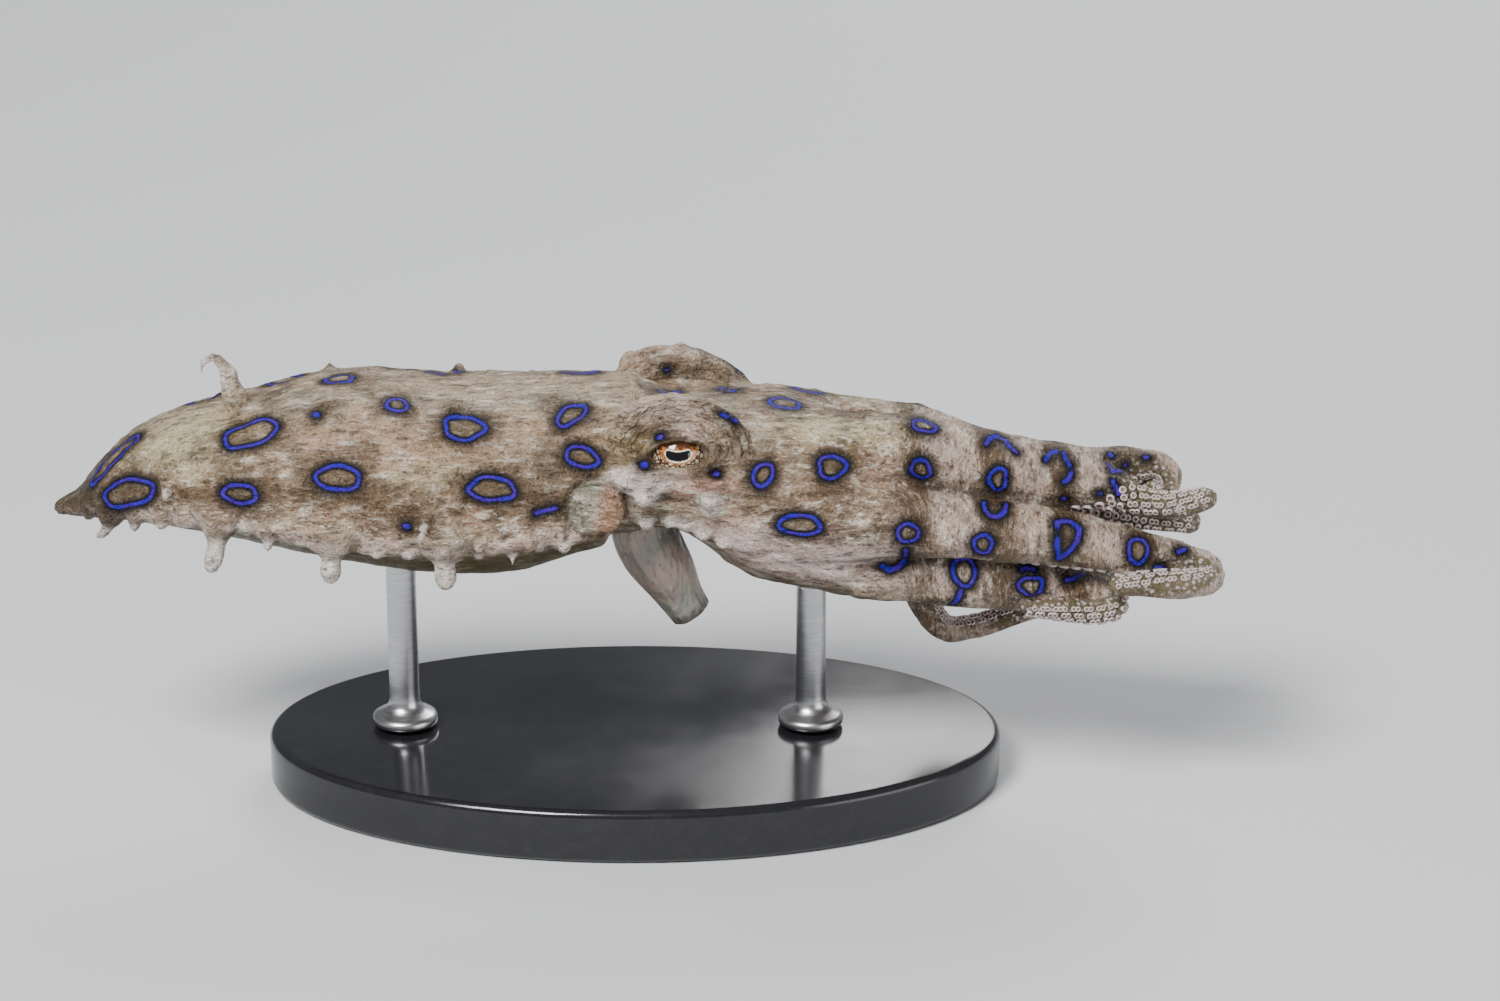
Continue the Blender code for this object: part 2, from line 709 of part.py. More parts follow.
def build_funnel():
    """The funnel: a tapered tube from under the head, open at its far end."""
    keys = np.array(FUNNEL)
    places = np.linspace(0, len(keys) - 1, 9)
    line = through(np.column_stack([np.arange(len(keys)), keys]), places)
    path = np.column_stack([line[:, 0], np.zeros(len(line)), line[:, 1]])
    along = unit(np.gradient(path, axis=0))
    turn = np.linspace(0, 2 * math.pi, 16, endpoint=False)
    root = np.column_stack([np.cos(turn) * 0.9, np.sin(turn) * 1.1]) * line[0, 2] + path[0, :2]
    rings = [[(x, y, underside("head", x, y) - GAP) for x, y in root]]
    for middle, way, half in zip(path[1:], along[1:], line[1:, 2]):
        side = np.cross(way, (0.0, 1.0, 0.0))
        circle = np.outer(np.cos(turn), side) * 0.9 + np.outer(np.sin(turn), (0.0, 1.0, 0.0)) * 1.1
        rings.append(middle + circle * half)
    first = (path[0, 0], 0.0, underside("head", path[0, 0], 0.0) - GAP)
    end = path[-1]
    way = along[-1]
    side = np.cross(way, (0.0, 1.0, 0.0))
    hollow = np.outer(np.cos(turn), side) * 0.9 + np.outer(np.sin(turn), (0.0, 1.0, 0.0)) * 1.1
    rings.append(end + way * 0.15 + hollow * (line[-1, 2] - 0.25))
    rings.append(end + hollow * (line[-1, 2] - FUNNEL_WALL))
    rings.append(end - way * FUNNEL_DEPTH * 0.8 + hollow * (line[-1, 2] - FUNNEL_WALL) * 0.7)
    return loft("funnel", rise(rings), rise(first), rise(end - way * FUNNEL_DEPTH), "funnel")


def arm_line(arm):
    """Points, radii, directions and sucker directions along an arm, one ring apart."""
    keys = np.array(arm["path"], dtype=float)
    step = np.linalg.norm(np.diff(keys[:, :3], axis=0), axis=1)
    place = np.concatenate([[0], np.cumsum(step)])
    fine = np.linspace(0, place[-1], 400)
    line = through(np.column_stack([place, keys]), fine)
    run = np.concatenate([[0], np.cumsum(np.linalg.norm(np.diff(line[:, :3], axis=0), axis=1))])
    facing = np.array([[share, *direction] for share, direction in arm["facing"]])
    return line, run, facing


def arm_frame(line, run, facing, distance):
    """The middle, radius, direction, and sucker side of an arm at a distance along it."""
    columns = [np.interp(distance, run, line[:, k]) for k in range(4)]
    middle = np.array(columns[:3])
    near = 0.15
    before = np.array([np.interp(distance - near, run, line[:, k]) for k in range(3)])
    after = np.array([np.interp(distance + near, run, line[:, k]) for k in range(3)])
    way = unit(after - before)
    share = distance / run[-1]
    oral = np.array([np.interp(share, facing[:, 0], facing[:, k]) for k in (1, 2, 3)])
    oral = unit(oral - way * np.dot(oral, way))
    return middle, columns[3], way, oral


def arm_ring(middle, half, way, oral):
    """An arm's cross-section, a little flatter where the suckers stand."""
    turn = np.linspace(0, 2 * math.pi, ARM_SIDES, endpoint=False)
    side = np.cross(way, oral)
    flat = 1 - 0.1 * np.clip(np.cos(turn), 0, 1)
    circle = np.outer(np.cos(turn) * flat, oral) + np.outer(np.sin(turn), side)
    return middle + circle * half


def sucker(name, middle, half, way, oral, angle):
    """A sucker: a short cup whose foot is sunk in the arm and whose face is dished."""
    out = unit(oral * math.cos(angle) + np.cross(way, oral) * math.sin(angle))
    size = sucker_size(half)
    foot = middle + out * half * 0.5
    face = middle + out * (half * 0.93 + size * 0.5)
    other = np.cross(out, way)
    turn = np.linspace(0, 2 * math.pi, SUCKER_SIDES, endpoint=False)
    circle = np.outer(np.cos(turn), way) + np.outer(np.sin(turn), other)
    rings = [foot + circle * size * 0.6, face + circle * size]
    return loft(name, rise(rings), rise(foot), rise(face - out * size * 0.35), "pale_skin")


def build_arm(name, arm):
    """One arm in its lengths, each a closed taper with its suckers."""
    line, run, facing = arm_line(arm)
    edges = [0.0, *[cut * run[-1] for cut in arm["cuts"]], run[-1]]
    labels = ("root", "tip") if len(edges) == 3 else ("root", "middle", "tip")
    for label, low, high in zip(labels, edges, edges[1:]):
        start = low if low == 0 else low + GAP / 2
        end = high if high == run[-1] else high - GAP / 2
        count = max(int((end - start) / ARM_RING_STEP), 4) + 1
        rings = []
        for distance in np.linspace(start, end, count):
            rings.append(arm_ring(*arm_frame(line, run, facing, distance)))
        if low == 0:
            rings[0][:, 0] = CROWN_END + GAP
        first = rings[0].mean(axis=0)
        last = rings[-1].mean(axis=0)
        if high == run[-1]:
            middle, half, way, oral = arm_frame(line, run, facing, end - 0.2)
            last = last + way * half * 0.9
        node = loft(name + "_" + label, rise(rings), rise(first), rise(last))
        add_suckers(node, line, run, facing, start, end)


def sucker_size(half):
    """The radius of a sucker where the arm's own radius is half."""
    return min(max(SUCKER_SHARE * half, SUCKER_LEAST), SUCKER_MOST_SHARE * half)


def add_suckers(node, line, run, facing, start, end):
    """Two staggered rows of suckers along a length of arm, closer and smaller towards the tip."""
    pieces = []
    distance = start + SUCKER_FIRST
    row = 1
    while True:
        middle, half, way, oral = arm_frame(line, run, facing, distance)
        size = sucker_size(half)
        if distance > end - size * SUCKER_END_ROOM:
            break
        pieces.append(sucker("sucker", middle, half, way, oral, row * SUCKER_ROW_ANGLE))
        distance += size * SUCKER_SPACING / 2
        row = -row
    apply_boolean(node, pieces, "UNION")


def build_stand():
    """The stand: an oval plate with a bevelled edge, and two rods with flared feet whose tops
    follow the underside of the body."""
    turn = np.linspace(0, 2 * math.pi, 48, endpoint=False)
    levels = (
        (0.0, PLATE_EDGE),
        (PLATE_EDGE, 0.0),
        (PLATE_THICK - PLATE_EDGE, 0.0),
        (PLATE_THICK, PLATE_EDGE),
    )
    rings = []
    for z, inset in levels:
        x = (PLATE_HALF_LENGTH - inset) * np.cos(turn)
        y = (PLATE_HALF_WIDTH - inset) * np.sin(turn)
        rings.append(np.column_stack([x, y, np.full(len(turn), z)]))
    loft("stand_base", rings, (0, 0, 0), (0, 0, PLATE_THICK), "plate")
    foot = PLATE_THICK + GAP
    turn = np.linspace(0, 2 * math.pi, 16, endpoint=False)
    for name, x in ROD_PLACES.items():
        over = "mantle" if x < MANTLE_END else "arm_crown"
        profile = (
            (ROD_FOOT_RADIUS, foot),
            (ROD_FOOT_RADIUS, foot + ROD_FOOT_HEIGHT * 0.5),
            (ROD_RADIUS * 1.3, foot + ROD_FOOT_HEIGHT),
            (ROD_RADIUS, foot + ROD_FOOT_HEIGHT * 1.6),
        )
        rings = []
        for half, z in profile:
            rings.append(np.column_stack([x + half * np.cos(turn), half * np.sin(turn), np.full(16, z)]))
        top = rings[-1] * 1.0
        for point in top:
            point[2] = AXIS_HEIGHT + underside(over, point[0] - BODY_SHIFT, point[1]) - GAP
        rings.append(top)
        middle = (x, 0.0, AXIS_HEIGHT + underside(over, x - BODY_SHIFT, 0.0) - GAP)
        loft(name, rings, (x, 0.0, foot), middle, "rod")




for old in list(bpy.data.objects):
    bpy.data.objects.remove(old)
build_mantle()
build_head()
build_eyes()
build_funnel()
build_crown()
for arm_name, arm_sizes in ARMS.items():
    build_arm(arm_name, arm_sizes)
build_stand()
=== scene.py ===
"""The looks of a life-size blue ringed octopus, swimming, on a display stand.

The body lies along X with its arms at the high end, and its right side faces -Y. Sizes are in
millimetres about the body's own axis, and every mesh is made in metres over the floor.
"""

import math

import bpy
import numpy as np
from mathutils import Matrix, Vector
from mathutils.bvhtree import BVHTree


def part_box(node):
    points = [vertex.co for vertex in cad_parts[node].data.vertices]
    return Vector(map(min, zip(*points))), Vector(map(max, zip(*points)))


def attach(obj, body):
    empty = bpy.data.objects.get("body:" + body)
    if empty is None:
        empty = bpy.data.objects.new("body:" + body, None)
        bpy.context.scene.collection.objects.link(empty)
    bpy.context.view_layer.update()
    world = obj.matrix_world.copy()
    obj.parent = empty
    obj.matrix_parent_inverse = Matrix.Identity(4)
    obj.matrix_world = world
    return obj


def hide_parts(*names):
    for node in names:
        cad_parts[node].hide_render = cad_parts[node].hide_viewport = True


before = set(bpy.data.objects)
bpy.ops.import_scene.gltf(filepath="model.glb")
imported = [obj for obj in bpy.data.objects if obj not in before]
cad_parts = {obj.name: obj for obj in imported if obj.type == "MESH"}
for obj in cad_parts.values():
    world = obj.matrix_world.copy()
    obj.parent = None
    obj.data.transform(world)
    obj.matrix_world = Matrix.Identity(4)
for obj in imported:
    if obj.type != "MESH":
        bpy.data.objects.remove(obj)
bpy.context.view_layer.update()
MM = 0.001


# The camera stands a little above the animal and looks at its right side, with a long lens. The
# same view later lays the rings on the skin, so it comes first.
FRAME_WIDE = 1500
FRAME_HIGH = 1001
LENS = 100.0
SENSOR = 36.0
CAMERA_DOWN = math.radians(20)
CAMERA_TARGET = np.array([0.00851, 0.0, 0.02164])
CAMERA_AWAY = 0.3025
# How wide a pixel of the picture is at the animal.
PIXEL = CAMERA_AWAY / MM * SENSOR / LENS / FRAME_WIDE

camera_data = bpy.data.cameras.new("camera")
camera_data.lens = LENS
camera_data.sensor_width = SENSOR
camera_data.clip_start = 0.01
camera = bpy.data.objects.new("camera", camera_data)
camera_place = CAMERA_TARGET + CAMERA_AWAY * np.array([0, -math.cos(CAMERA_DOWN), math.sin(CAMERA_DOWN)])
camera.location = camera_place
camera.rotation_euler = (math.pi / 2 - CAMERA_DOWN, 0, 0)
bpy.context.scene.collection.objects.link(camera)
bpy.context.scene.camera = camera


# The mantle is a soft bag of muscle, rounded above and drawn in below a side ridge. The ridge is
# a frilled fringe from which curled and knobbed papillae hang, and one hooked flap stands on top.
AXIS = np.array([0.16, 0.0, 24.0])
# Cross-sections: x, height of the ridge, half width, top, bottom.
MANTLE = (
    (-42.2, -2.9, 0.4, -2.5, -3.3), (-40.3, -2.6, 2.1, -1.4, -3.3), (-38.8, -2.2, 3.5, 0.5, -3.2),
    (-36.7, -1.7, 5.0, 2.5, -3.1), (-33.0, -1.2, 6.8, 4.3, -3.5), (-28.7, -1.0, 8.2, 5.4, -4.2),
    (-21.1, -2.0, 9.4, 7.1, -5.7), (-13.4, -2.3, 9.6, 6.8, -6.9), (-8.3, -2.3, 9.2, 6.9, -6.8),
    (-2.5, -1.6, 8.2, 7.0, -5.3), (1.5, -1.2, 7.9, 6.9, -4.4),
)
MANTLE_TIP = (-42.45, 0, -2.9)
MANTLE_END = -1.6
MANTLE_MOUTH_HIGH = 0.7
# Where the mesh's sections lie, close together at the tail point: from, to, and how many.
TAIL_SECTIONS = (-42.1, -38, 22)
BAG_SECTIONS = (-37.8, MANTLE_END, 150)
MANTLE_SLANT = 0.22
SLANT_FROM = -9.0
# The lip of the mantle's opening: how far forwards it goes, and its share of the last section.
MANTLE_LIP = ((0.0, 1.0), (0.3, 0.985), (0.5, 0.95), (0.55, 0.88))
UPPER_POWER = 2.2
BODY_SIDES = 200
# How far the fringe stands out, how thick it is, the half width of the mantle where it is full, and
# its waves: share of the half width, turn for each millimetre, and start.
FRINGE_OUT = 0.85
FRINGE_THICK = 0.8
FRINGE_FULL = 6.0
FRILLS = ((0.010, 2.3, 0.0), (0.008, 5.1, 1.0))
# Papillae of the right fringe: x, length, root half width, tip half width, sideways lean.
FRINGE_PAPILLAE = (
    (-37.4, 1.6, 0.85, 0.36, -1.1), (-35.6, 0.8, 0.50, 0.34, 0.0), (-33.5, 0.6, 0.50, 0.35, 0.0),
    (-31.6, 0.35, 0.40, 0.22, 0.1), (-29.3, 3.6, 1.45, 0.68, -0.6), (-27.5, 0.5, 0.50, 0.25, 0.0),
    (-25.7, 1.3, 0.80, 0.36, 0.0), (-23.4, 0.5, 0.50, 0.25, 0.1), (-21.2, 2.8, 1.60, 0.74, -0.1),
    (-18.0, 0.8, 0.45, 0.30, 0.2), (-15.6, 0.7, 0.40, 0.30, -0.2), (-13.2, 2.9, 1.65, 0.78, 0.1),
    (-10.8, 0.5, 0.40, 0.22, 0.0), (-8.4, 1.2, 0.85, 0.24, 0.0), (-6.3, 0.5, 0.35, 0.22, 0.0),
    (-4.6, 1.0, 0.42, 0.50, 0.3),
)
# Small papillae higher on the side: x, z, length, root half width, tip half width, lean. Those
# below the back are pale and hang, and those on it stand up.
SIDE_PAPILLAE = (
    (-32.8, 0.9, 0.9, 0.60, 0.34, -0.5), (-19.4, -1.1, 0.8, 0.45, 0.24, 0.2),
    (-14.4, -0.5, 1.2, 0.50, 0.26, -0.4), (-9.0, -0.9, 0.7, 0.40, 0.22, 0.1),
    (-12.6, 6.0, 0.5, 0.60, 0.40, 0.3), (-21.2, 6.4, 0.4, 0.60, 0.35, -0.3),
)
BACK_FROM = 4
# The hooked flap on the back: where it stands across the body, then x, z and half width along it.
FLAP_ASIDE = -2.0
DORSAL_FLAP = (
    (-28.0, 3.4, 1.15), (-28.2, 4.6, 0.95), (-28.6, 6.6, 0.80), (-29.0, 8.2, 0.55), (-29.7, 9.2, 0.34),
    (-30.5, 9.0, 0.26), (-30.8, 8.1, 0.22),
)
FLAP_STEPS = 40
FLAP_PALE_HALF = 0.6
# A papilla's half width at shares of its length, as a share of its root's and its tip's.
PAPILLA = ((-0.35, 1.5, 0), (0.06, 0.92, 0), (0.36, 0, 0.98), (0.64, 0, 1.10), (1.0, 0, 0.60))
PAPILLA_STEPS = 22
PAPILLA_SIDES = 14
SIDEWAYS = np.array([0.0, 1.0, 0.0])
# The right side and the left.
HANDS = (-1, 1)


def through(keys, at):
    """A smooth curve through the keys: cubic pieces whose slopes come from the neighbouring keys."""
    keys = np.asarray(keys, dtype=float)
    place = keys[:, 0]
    value = keys[:, 1:]
    slope = np.gradient(value, place, axis=0)
    at = np.clip(np.atleast_1d(at), place[0], place[-1])
    i = np.clip(np.searchsorted(place, at, side="right") - 1, 0, len(place) - 2)
    width = (place[i + 1] - place[i])[:, None]
    t = (at - place[i])[:, None] / width
    rise = 2 * t**3 - 3 * t**2
    start = (1 + rise) * value[i] + (t**3 - 2 * t**2 + t) * width * slope[i]
    end = -rise * value[i + 1] + (t**3 - t**2) * width * slope[i + 1]
    return start + end


def through_rows(rows, count):
    """The smooth curve through the rows, at count even steps of their number."""
    rows = np.asarray(rows)
    return through(np.column_stack([np.arange(len(rows)), rows]), np.linspace(0, len(rows) - 1, count))


def unit(vectors):
    """The vectors, each one long."""
    return vectors / np.maximum(np.linalg.norm(vectors, axis=-1, keepdims=True), 1e-12)


def smooth(value, low, high):
    """0 below low, 1 above high, and an S curve 3t^2 - 2t^3 between them."""
    t = np.clip((value - low) / (high - low), 0, 1)
    return t * t * (3 - 2 * t)


def full_turn(count):
    """Angles in even steps round a circle."""
    return np.linspace(0, math.tau, count, endpoint=False)


def ring_faces(index):
    """The quads from ring to ring of a grid of vertex numbers, and each number's next in its ring."""
    after = np.roll(index, -1, axis=-1)
    corners = [index[..., :-1, :], after[..., :-1, :], after[..., 1:, :], index[..., 1:, :]]
    return np.stack(corners, axis=-1).reshape(-1, 4).tolist(), after


def closed_skin(rings, first, last):
    """Vertices and faces of a closed surface: quads from ring to ring, and a fan at both ends."""
    count, sides = rings.shape[:2]
    index = np.arange(count * sides).reshape(count, sides)
    faces, after = ring_faces(index)
    pole = np.full(sides, count * sides)
    faces += np.stack([pole, after[0], index[0]], axis=-1).tolist()
    faces += np.stack([pole + 1, index[-1], after[-1]], axis=-1).tolist()
    return np.vstack([rings.reshape(-1, 3), first, last]), faces


def section(sizes, ridge_out=0.0, ridge_thick=0.0, sides=BODY_SIDES):
    """Cross-sections in Y and Z, one for each row of sizes: above the ridge half an ellipse of the
    upper power, and below it half a plain one, drawn in by ridge_out under a thick ridge."""
    ridge, half, top, bottom = (sizes[:, k, None] for k in range(4))
    across = np.cos(full_turn(sides))
    up = np.sin(full_turn(sides))
    power = np.where(up >= 0, 2 / UPPER_POWER, 1)
    wide = np.sign(across) * np.abs(across) ** power
    high = np.sign(up) * np.abs(up) ** power
    under = np.clip(-up / 0.35, 0, 1)
    drop = np.where(up >= 0, top - ridge, ridge - bottom)
    y = (half - np.reshape(ridge_out, (-1, 1)) * under) * wide
    return y, ridge + drop * high - np.reshape(ridge_thick, (-1, 1)) * ((1 - under) * under * 2)


def slanted(x, z):
    """x moved forwards with the height z, where the mantle's open edge leans."""
    share = np.clip((x - SLANT_FROM) / (MANTLE_END - SLANT_FROM), 0, 1)
    return x + MANTLE_SLANT * share * z


def carried(path, halves, sides, side=SIDEWAYS, round_end=0.8):
    """A tapered tube: circles of the given half widths round each point of the path, square to
    it, starting from the direction side, closed by a point past its end."""
    along = unit(np.gradient(path, axis=0))
    side = unit(side - along * (along @ side)[:, None])
    turn = full_turn(sides)[:, None]
    circle = np.cos(turn) * side[:, None] + np.sin(turn) * np.cross(along, side)[:, None]
    rings = path[:, None] + circle * halves[:, None, None]
    return closed_skin(rings, path[0], path[-1] + along[-1] * halves[-1] * round_end)


def papilla(root, down, length, root_half, tip_half, bend=(0, 0, 0), pale_half=0):
    """Adds a fleshy point: a wide foot, a waist, a knob and a round end, bent as it goes. The half
    width follows a smooth curve through them, and falls to nothing as a circle. Where pale_half
    is given, the papilla's line and that half width are kept for its pale paint."""
    keys = [(share, root_half * foot + tip_half * knob) for share, foot, knob in PAPILLA]
    shares = np.linspace(keys[0][0], keys[-1][0], PAPILLA_STEPS)
    end = np.clip((shares - 0.86) / 0.14, 0, 1) * 0.97
    halves = through(keys, shares)[:, 0] * np.sqrt(1 - end**2)
    down = unit(np.array(down))
    path = root + down * length * shares[:, None] + np.outer(np.clip(shares, 0, 1) ** 2, bend)
    flesh.append(carried(path, halves, PAPILLA_SIDES, np.array([1.0, 0.15, 0.0]), 0.3))
    if pale_half:
        pale_lines.append((root, root + down * length + bend, pale_half))


def mantle_point(x, hand, z=None):
    """The place on the mantle at x, on the right for hand -1 and the left for 1: on the ridge, or
    at the height z on the upper half."""
    ridge, half, top = through(MANTLE, x)[0][:3]
    z = ridge if z is None else z
    share = min(max((z - ridge) / (top - ridge), 0), 1)
    return np.array([slanted(x, z), hand * half * (1 - share**UPPER_POWER) ** (1 / UPPER_POWER), z])


flesh = []
pale_lines = []

mantle_places = np.concatenate([np.linspace(*TAIL_SECTIONS), np.linspace(*BAG_SECTIONS)])
mantle_sizes = through(MANTLE, mantle_places)
full = np.clip(mantle_sizes[:, 1] / FRINGE_FULL, 0, 1)
frill = sum(high * np.sin(mantle_places * turn + start) for high, turn, start in FRILLS)
mantle_sizes[:, 1] *= 1 + full * frill
mantle_y, mantle_z = section(mantle_sizes, FRINGE_OUT * full, FRINGE_THICK * full)
mantle_rings = np.stack([slanted(mantle_places[:, None], mantle_z), mantle_y, mantle_z], axis=-1)
edge = mantle_rings[-1]
edge_middle = np.array([MANTLE_END, 0.0, MANTLE_MOUTH_HIGH])
lip = [edge_middle + (edge - edge_middle) * share + (away, 0, 0) for away, share in MANTLE_LIP]
flesh.append(closed_skin(np.concatenate([mantle_rings[:-1], lip]), MANTLE_TIP, edge_middle))

draw = np.random.default_rng(7)
for hand in HANDS:
    for x, length, root_half, tip_half, lean in FRINGE_PAPILLAE:
        if hand > 0:
            x += draw.uniform(-0.9, 0.9)
            length *= draw.uniform(0.8, 1.15)
        root = mantle_point(x, hand) + (0, -hand * 0.35, -0.45)
        bend = (lean, 0.1 * hand, 0.3 * abs(lean))
        papilla(root, (0.05 * lean, 0.25 * hand, -1), length, root_half, tip_half, bend, tip_half)
    for x, z, length, root_half, tip_half, lean in SIDE_PAPILLAE:
        low = z < BACK_FROM
        root = mantle_point(x + (draw.uniform(-1, 1) if hand > 0 else 0), hand, z)
        down = (0, 0.75 * hand, -0.65 if low else 0.8)
        papilla(root, down, length, root_half, tip_half, (lean, 0, 0), low * tip_half * 0.7)
flap = through_rows(DORSAL_FLAP, FLAP_STEPS)
flap_path = np.column_stack([flap[:, 0], np.full(FLAP_STEPS, FLAP_ASIDE), flap[:, 1]])
flesh.append(carried(flap_path, flap[:, 2], 16))
pale_lines.append((flap_path[12], flap_path[-6], FLAP_PALE_HALF))


# The head carries two eye mounds with lids, a wart behind each eye, a lobe that closes the mantle's
# opening, and large soft papillae and a row of droplets under the cheeks.
HEAD_START = -3.4
HEAD_END = 9.3
HEAD_LEAN_LONG = 5.0
# Cross-sections of the head and the crown, in the same order as the mantle's.
TRUNK = (
    (-3.5, 0.2, 7.3, 6.6, -4.0), (0.0, 0.7, 7.6, 6.1, -3.7), (3.0, 1.0, 7.8, 5.7, -3.7),
    (6.0, 0.3, 8.0, 5.8, -5.7), (7.6, -0.2, 8.1, 5.9, -7.0), (12.0, -1.3, 8.3, 5.7, -8.3),
    (15.6, -1.9, 8.3, 5.3, -8.9), (19.6, -2.4, 8.2, 4.9, -9.6),
)
# Round forms: middle on the left, and half sizes.
NAPE = ((-1.4, 0.0, 1.3), (6.8, 7.5, 5.5))
MOUND = ((3.1, 5.6, 3.3), (5.5, 2.6, 3.95))
LOBE = ((-2.5, 7.3, -0.1), (2.1, 1.6, 2.1))
WART = ((-0.4, 6.5, 6.1), (0.85, 0.85, 0.85))
CHEEK_FOLDS = (((0.9, 7.5, 1.85), (2.7, 1.25, 1.0)), ((4.7, 7.5, 1.6), (2.4, 1.05, 0.8)))
EYE_MIDDLE = (3.3, 5.75, 3.15)
EYE_RADIUS = 2.3
EYE_LOOK = (0.0, 0.93, 0.37)
LID_HALF_LENGTH = 2.4
LID_HALF_HEIGHT = 1.28
LID_THICK = 0.46
LID_STEPS = 72
LID_SIDES = 18
# The crest over each eye mound: x, y on the left, z, half width.
CREST = (
    (-1.2, 6.3, 5.2, 0.5), (0.4, 5.9, 6.6, 0.65), (2.4, 5.5, 7.0, 0.72),
    (4.6, 5.4, 6.7, 0.7), (6.6, 5.5, 5.7, 0.62), (8.4, 5.8, 4.4, 0.4),
)
CHEEK_LENGTH = 1.5
# Round papillae at the folds' edges: x, y on the left, z, root half width, tip half width.
CHEEK_PAPILLAE = ((0.9, 8.0, 1.6, 1.10, 0.72), (5.5, 8.0, 1.4, 0.95, 0.66))
DROPLET_ASIDE = 0.86
# Droplets along the edge of the web: x, drop below the edge, radius.
WEB_DROPLETS = ((1.0, 0.8, 0.46), (2.6, 0.65, 0.44), (3.7, 0.65, 0.42), (5.0, 0.6, 0.42), (6.4, 0.5, 0.40))


def mirrored(place, hand):
    """A place on the left of the body, or the same one on the right for hand -1."""
    return np.array([place[0], place[1] * hand, place[2]])


def egg(middle, size):
    """A closed ellipsoid with its poles on X: middle + size times a point of the unit ball."""
    turn = full_turn(40)
    tip = np.linspace(0, math.pi, 26)[1:-1, None]
    ball = [-np.cos(tip) + 0 * turn, np.sin(tip) * np.cos(turn), np.sin(tip) * np.sin(turn)]
    pole = (size[0], 0, 0)
    return closed_skin(middle + np.stack(ball, axis=-1) * size, middle - pole, middle + pole)


def eye_axes(hand):
    """The eye's middle, its outward look, and the directions along and up across it."""
    look = unit(mirrored(EYE_LOOK, hand))
    along = np.array([1.0, 0.0, 0.0])
    return mirrored(EYE_MIDDLE, hand), look, along, unit(np.cross(along, look) * hand)


def lids(hand):
    """The rim of both lids: a round bar carried round an oval that hugs the eyeball."""
    middle, look, along, up = eye_axes(hand)
    around = full_turn(LID_STEPS)[:, None]
    turn = full_turn(LID_SIDES)[:, None, None]
    out = along * np.cos(around) * LID_HALF_LENGTH + up * np.sin(around) * LID_HALF_HEIGHT
    dip = look * -0.35 * np.cos(around) ** 2
    thick = LID_THICK * (1 + 0.35 * smooth(np.sin(around), 0.2, 1.0))
    spine = middle + look * (EYE_RADIUS - 0.02 + 0.25 * smooth(np.sin(around), 0, 1)) + out + dip
    bar = spine + (unit(out) * np.cos(turn) + look * np.sin(turn)) * thick
    index = np.arange(LID_SIDES * LID_STEPS).reshape(LID_SIDES, LID_STEPS)
    return bar.reshape(-1, 3), ring_faces(np.vstack([index, index[:1]]))[0]


head_places = np.linspace(HEAD_START, HEAD_END + 1.5, 60)
head_y, head_z = section(through(TRUNK, head_places))
head_lean = MANTLE_SLANT * np.clip(1 - (head_places - MANTLE_END) / HEAD_LEAN_LONG, 0, 1)[:, None] * head_z
head_rings = np.stack([head_places[:, None] + head_lean, head_y, head_z], axis=-1)
flesh.append(closed_skin(head_rings, head_rings[0].mean(axis=0), head_rings[-1].mean(axis=0)))
flesh.append(egg(np.array(NAPE[0]), NAPE[1]))
crest = through_rows(CREST, 50)
for hand in HANDS:
    for middle, size in (MOUND, LOBE, WART):
        flesh.append(egg(mirrored(middle, hand), size))
    flesh.append(lids(hand))
    flesh.append(carried(crest[:, :3] * (1, hand, 1), crest[:, 3], 20))
    for middle, size in CHEEK_FOLDS:
        flesh.append(egg(mirrored(middle, hand), size))
    for x, y, z, root_half, tip_half in CHEEK_PAPILLAE:
        down = (0, 0.42 * hand, -1)
        papilla(mirrored((x, y, z), hand), down, CHEEK_LENGTH, root_half, tip_half, pale_half=tip_half)
    for x, drop, half in WEB_DROPLETS:
        ridge, wide, top, bottom = through(TRUNK, x)[0]
        z = ridge - (ridge - bottom) * math.sqrt(1 - DROPLET_ASIDE**2)
        root = mirrored((x, DROPLET_ASIDE * wide, z + half), hand)
        papilla(root, (0, 0.4 * hand, -1), drop + half, half, half * 1.15, pale_half=half)


# The crown is where the eight arms and the web between them leave the head: round behind, lobed
# in front. Each arm is a solid muscle that tapers to a thread, some folded back on themselves.
CROWN_END = 19.6
CROWN_CENTRE = np.array([0.0, -2.4])
CROWN_STEPS = 60
CROWN_SIDES = 240
CROWN_RIM = ((0.9, 0.95), (1.6, 0.85), (2.0, 0.7), (1.2, 0.35))
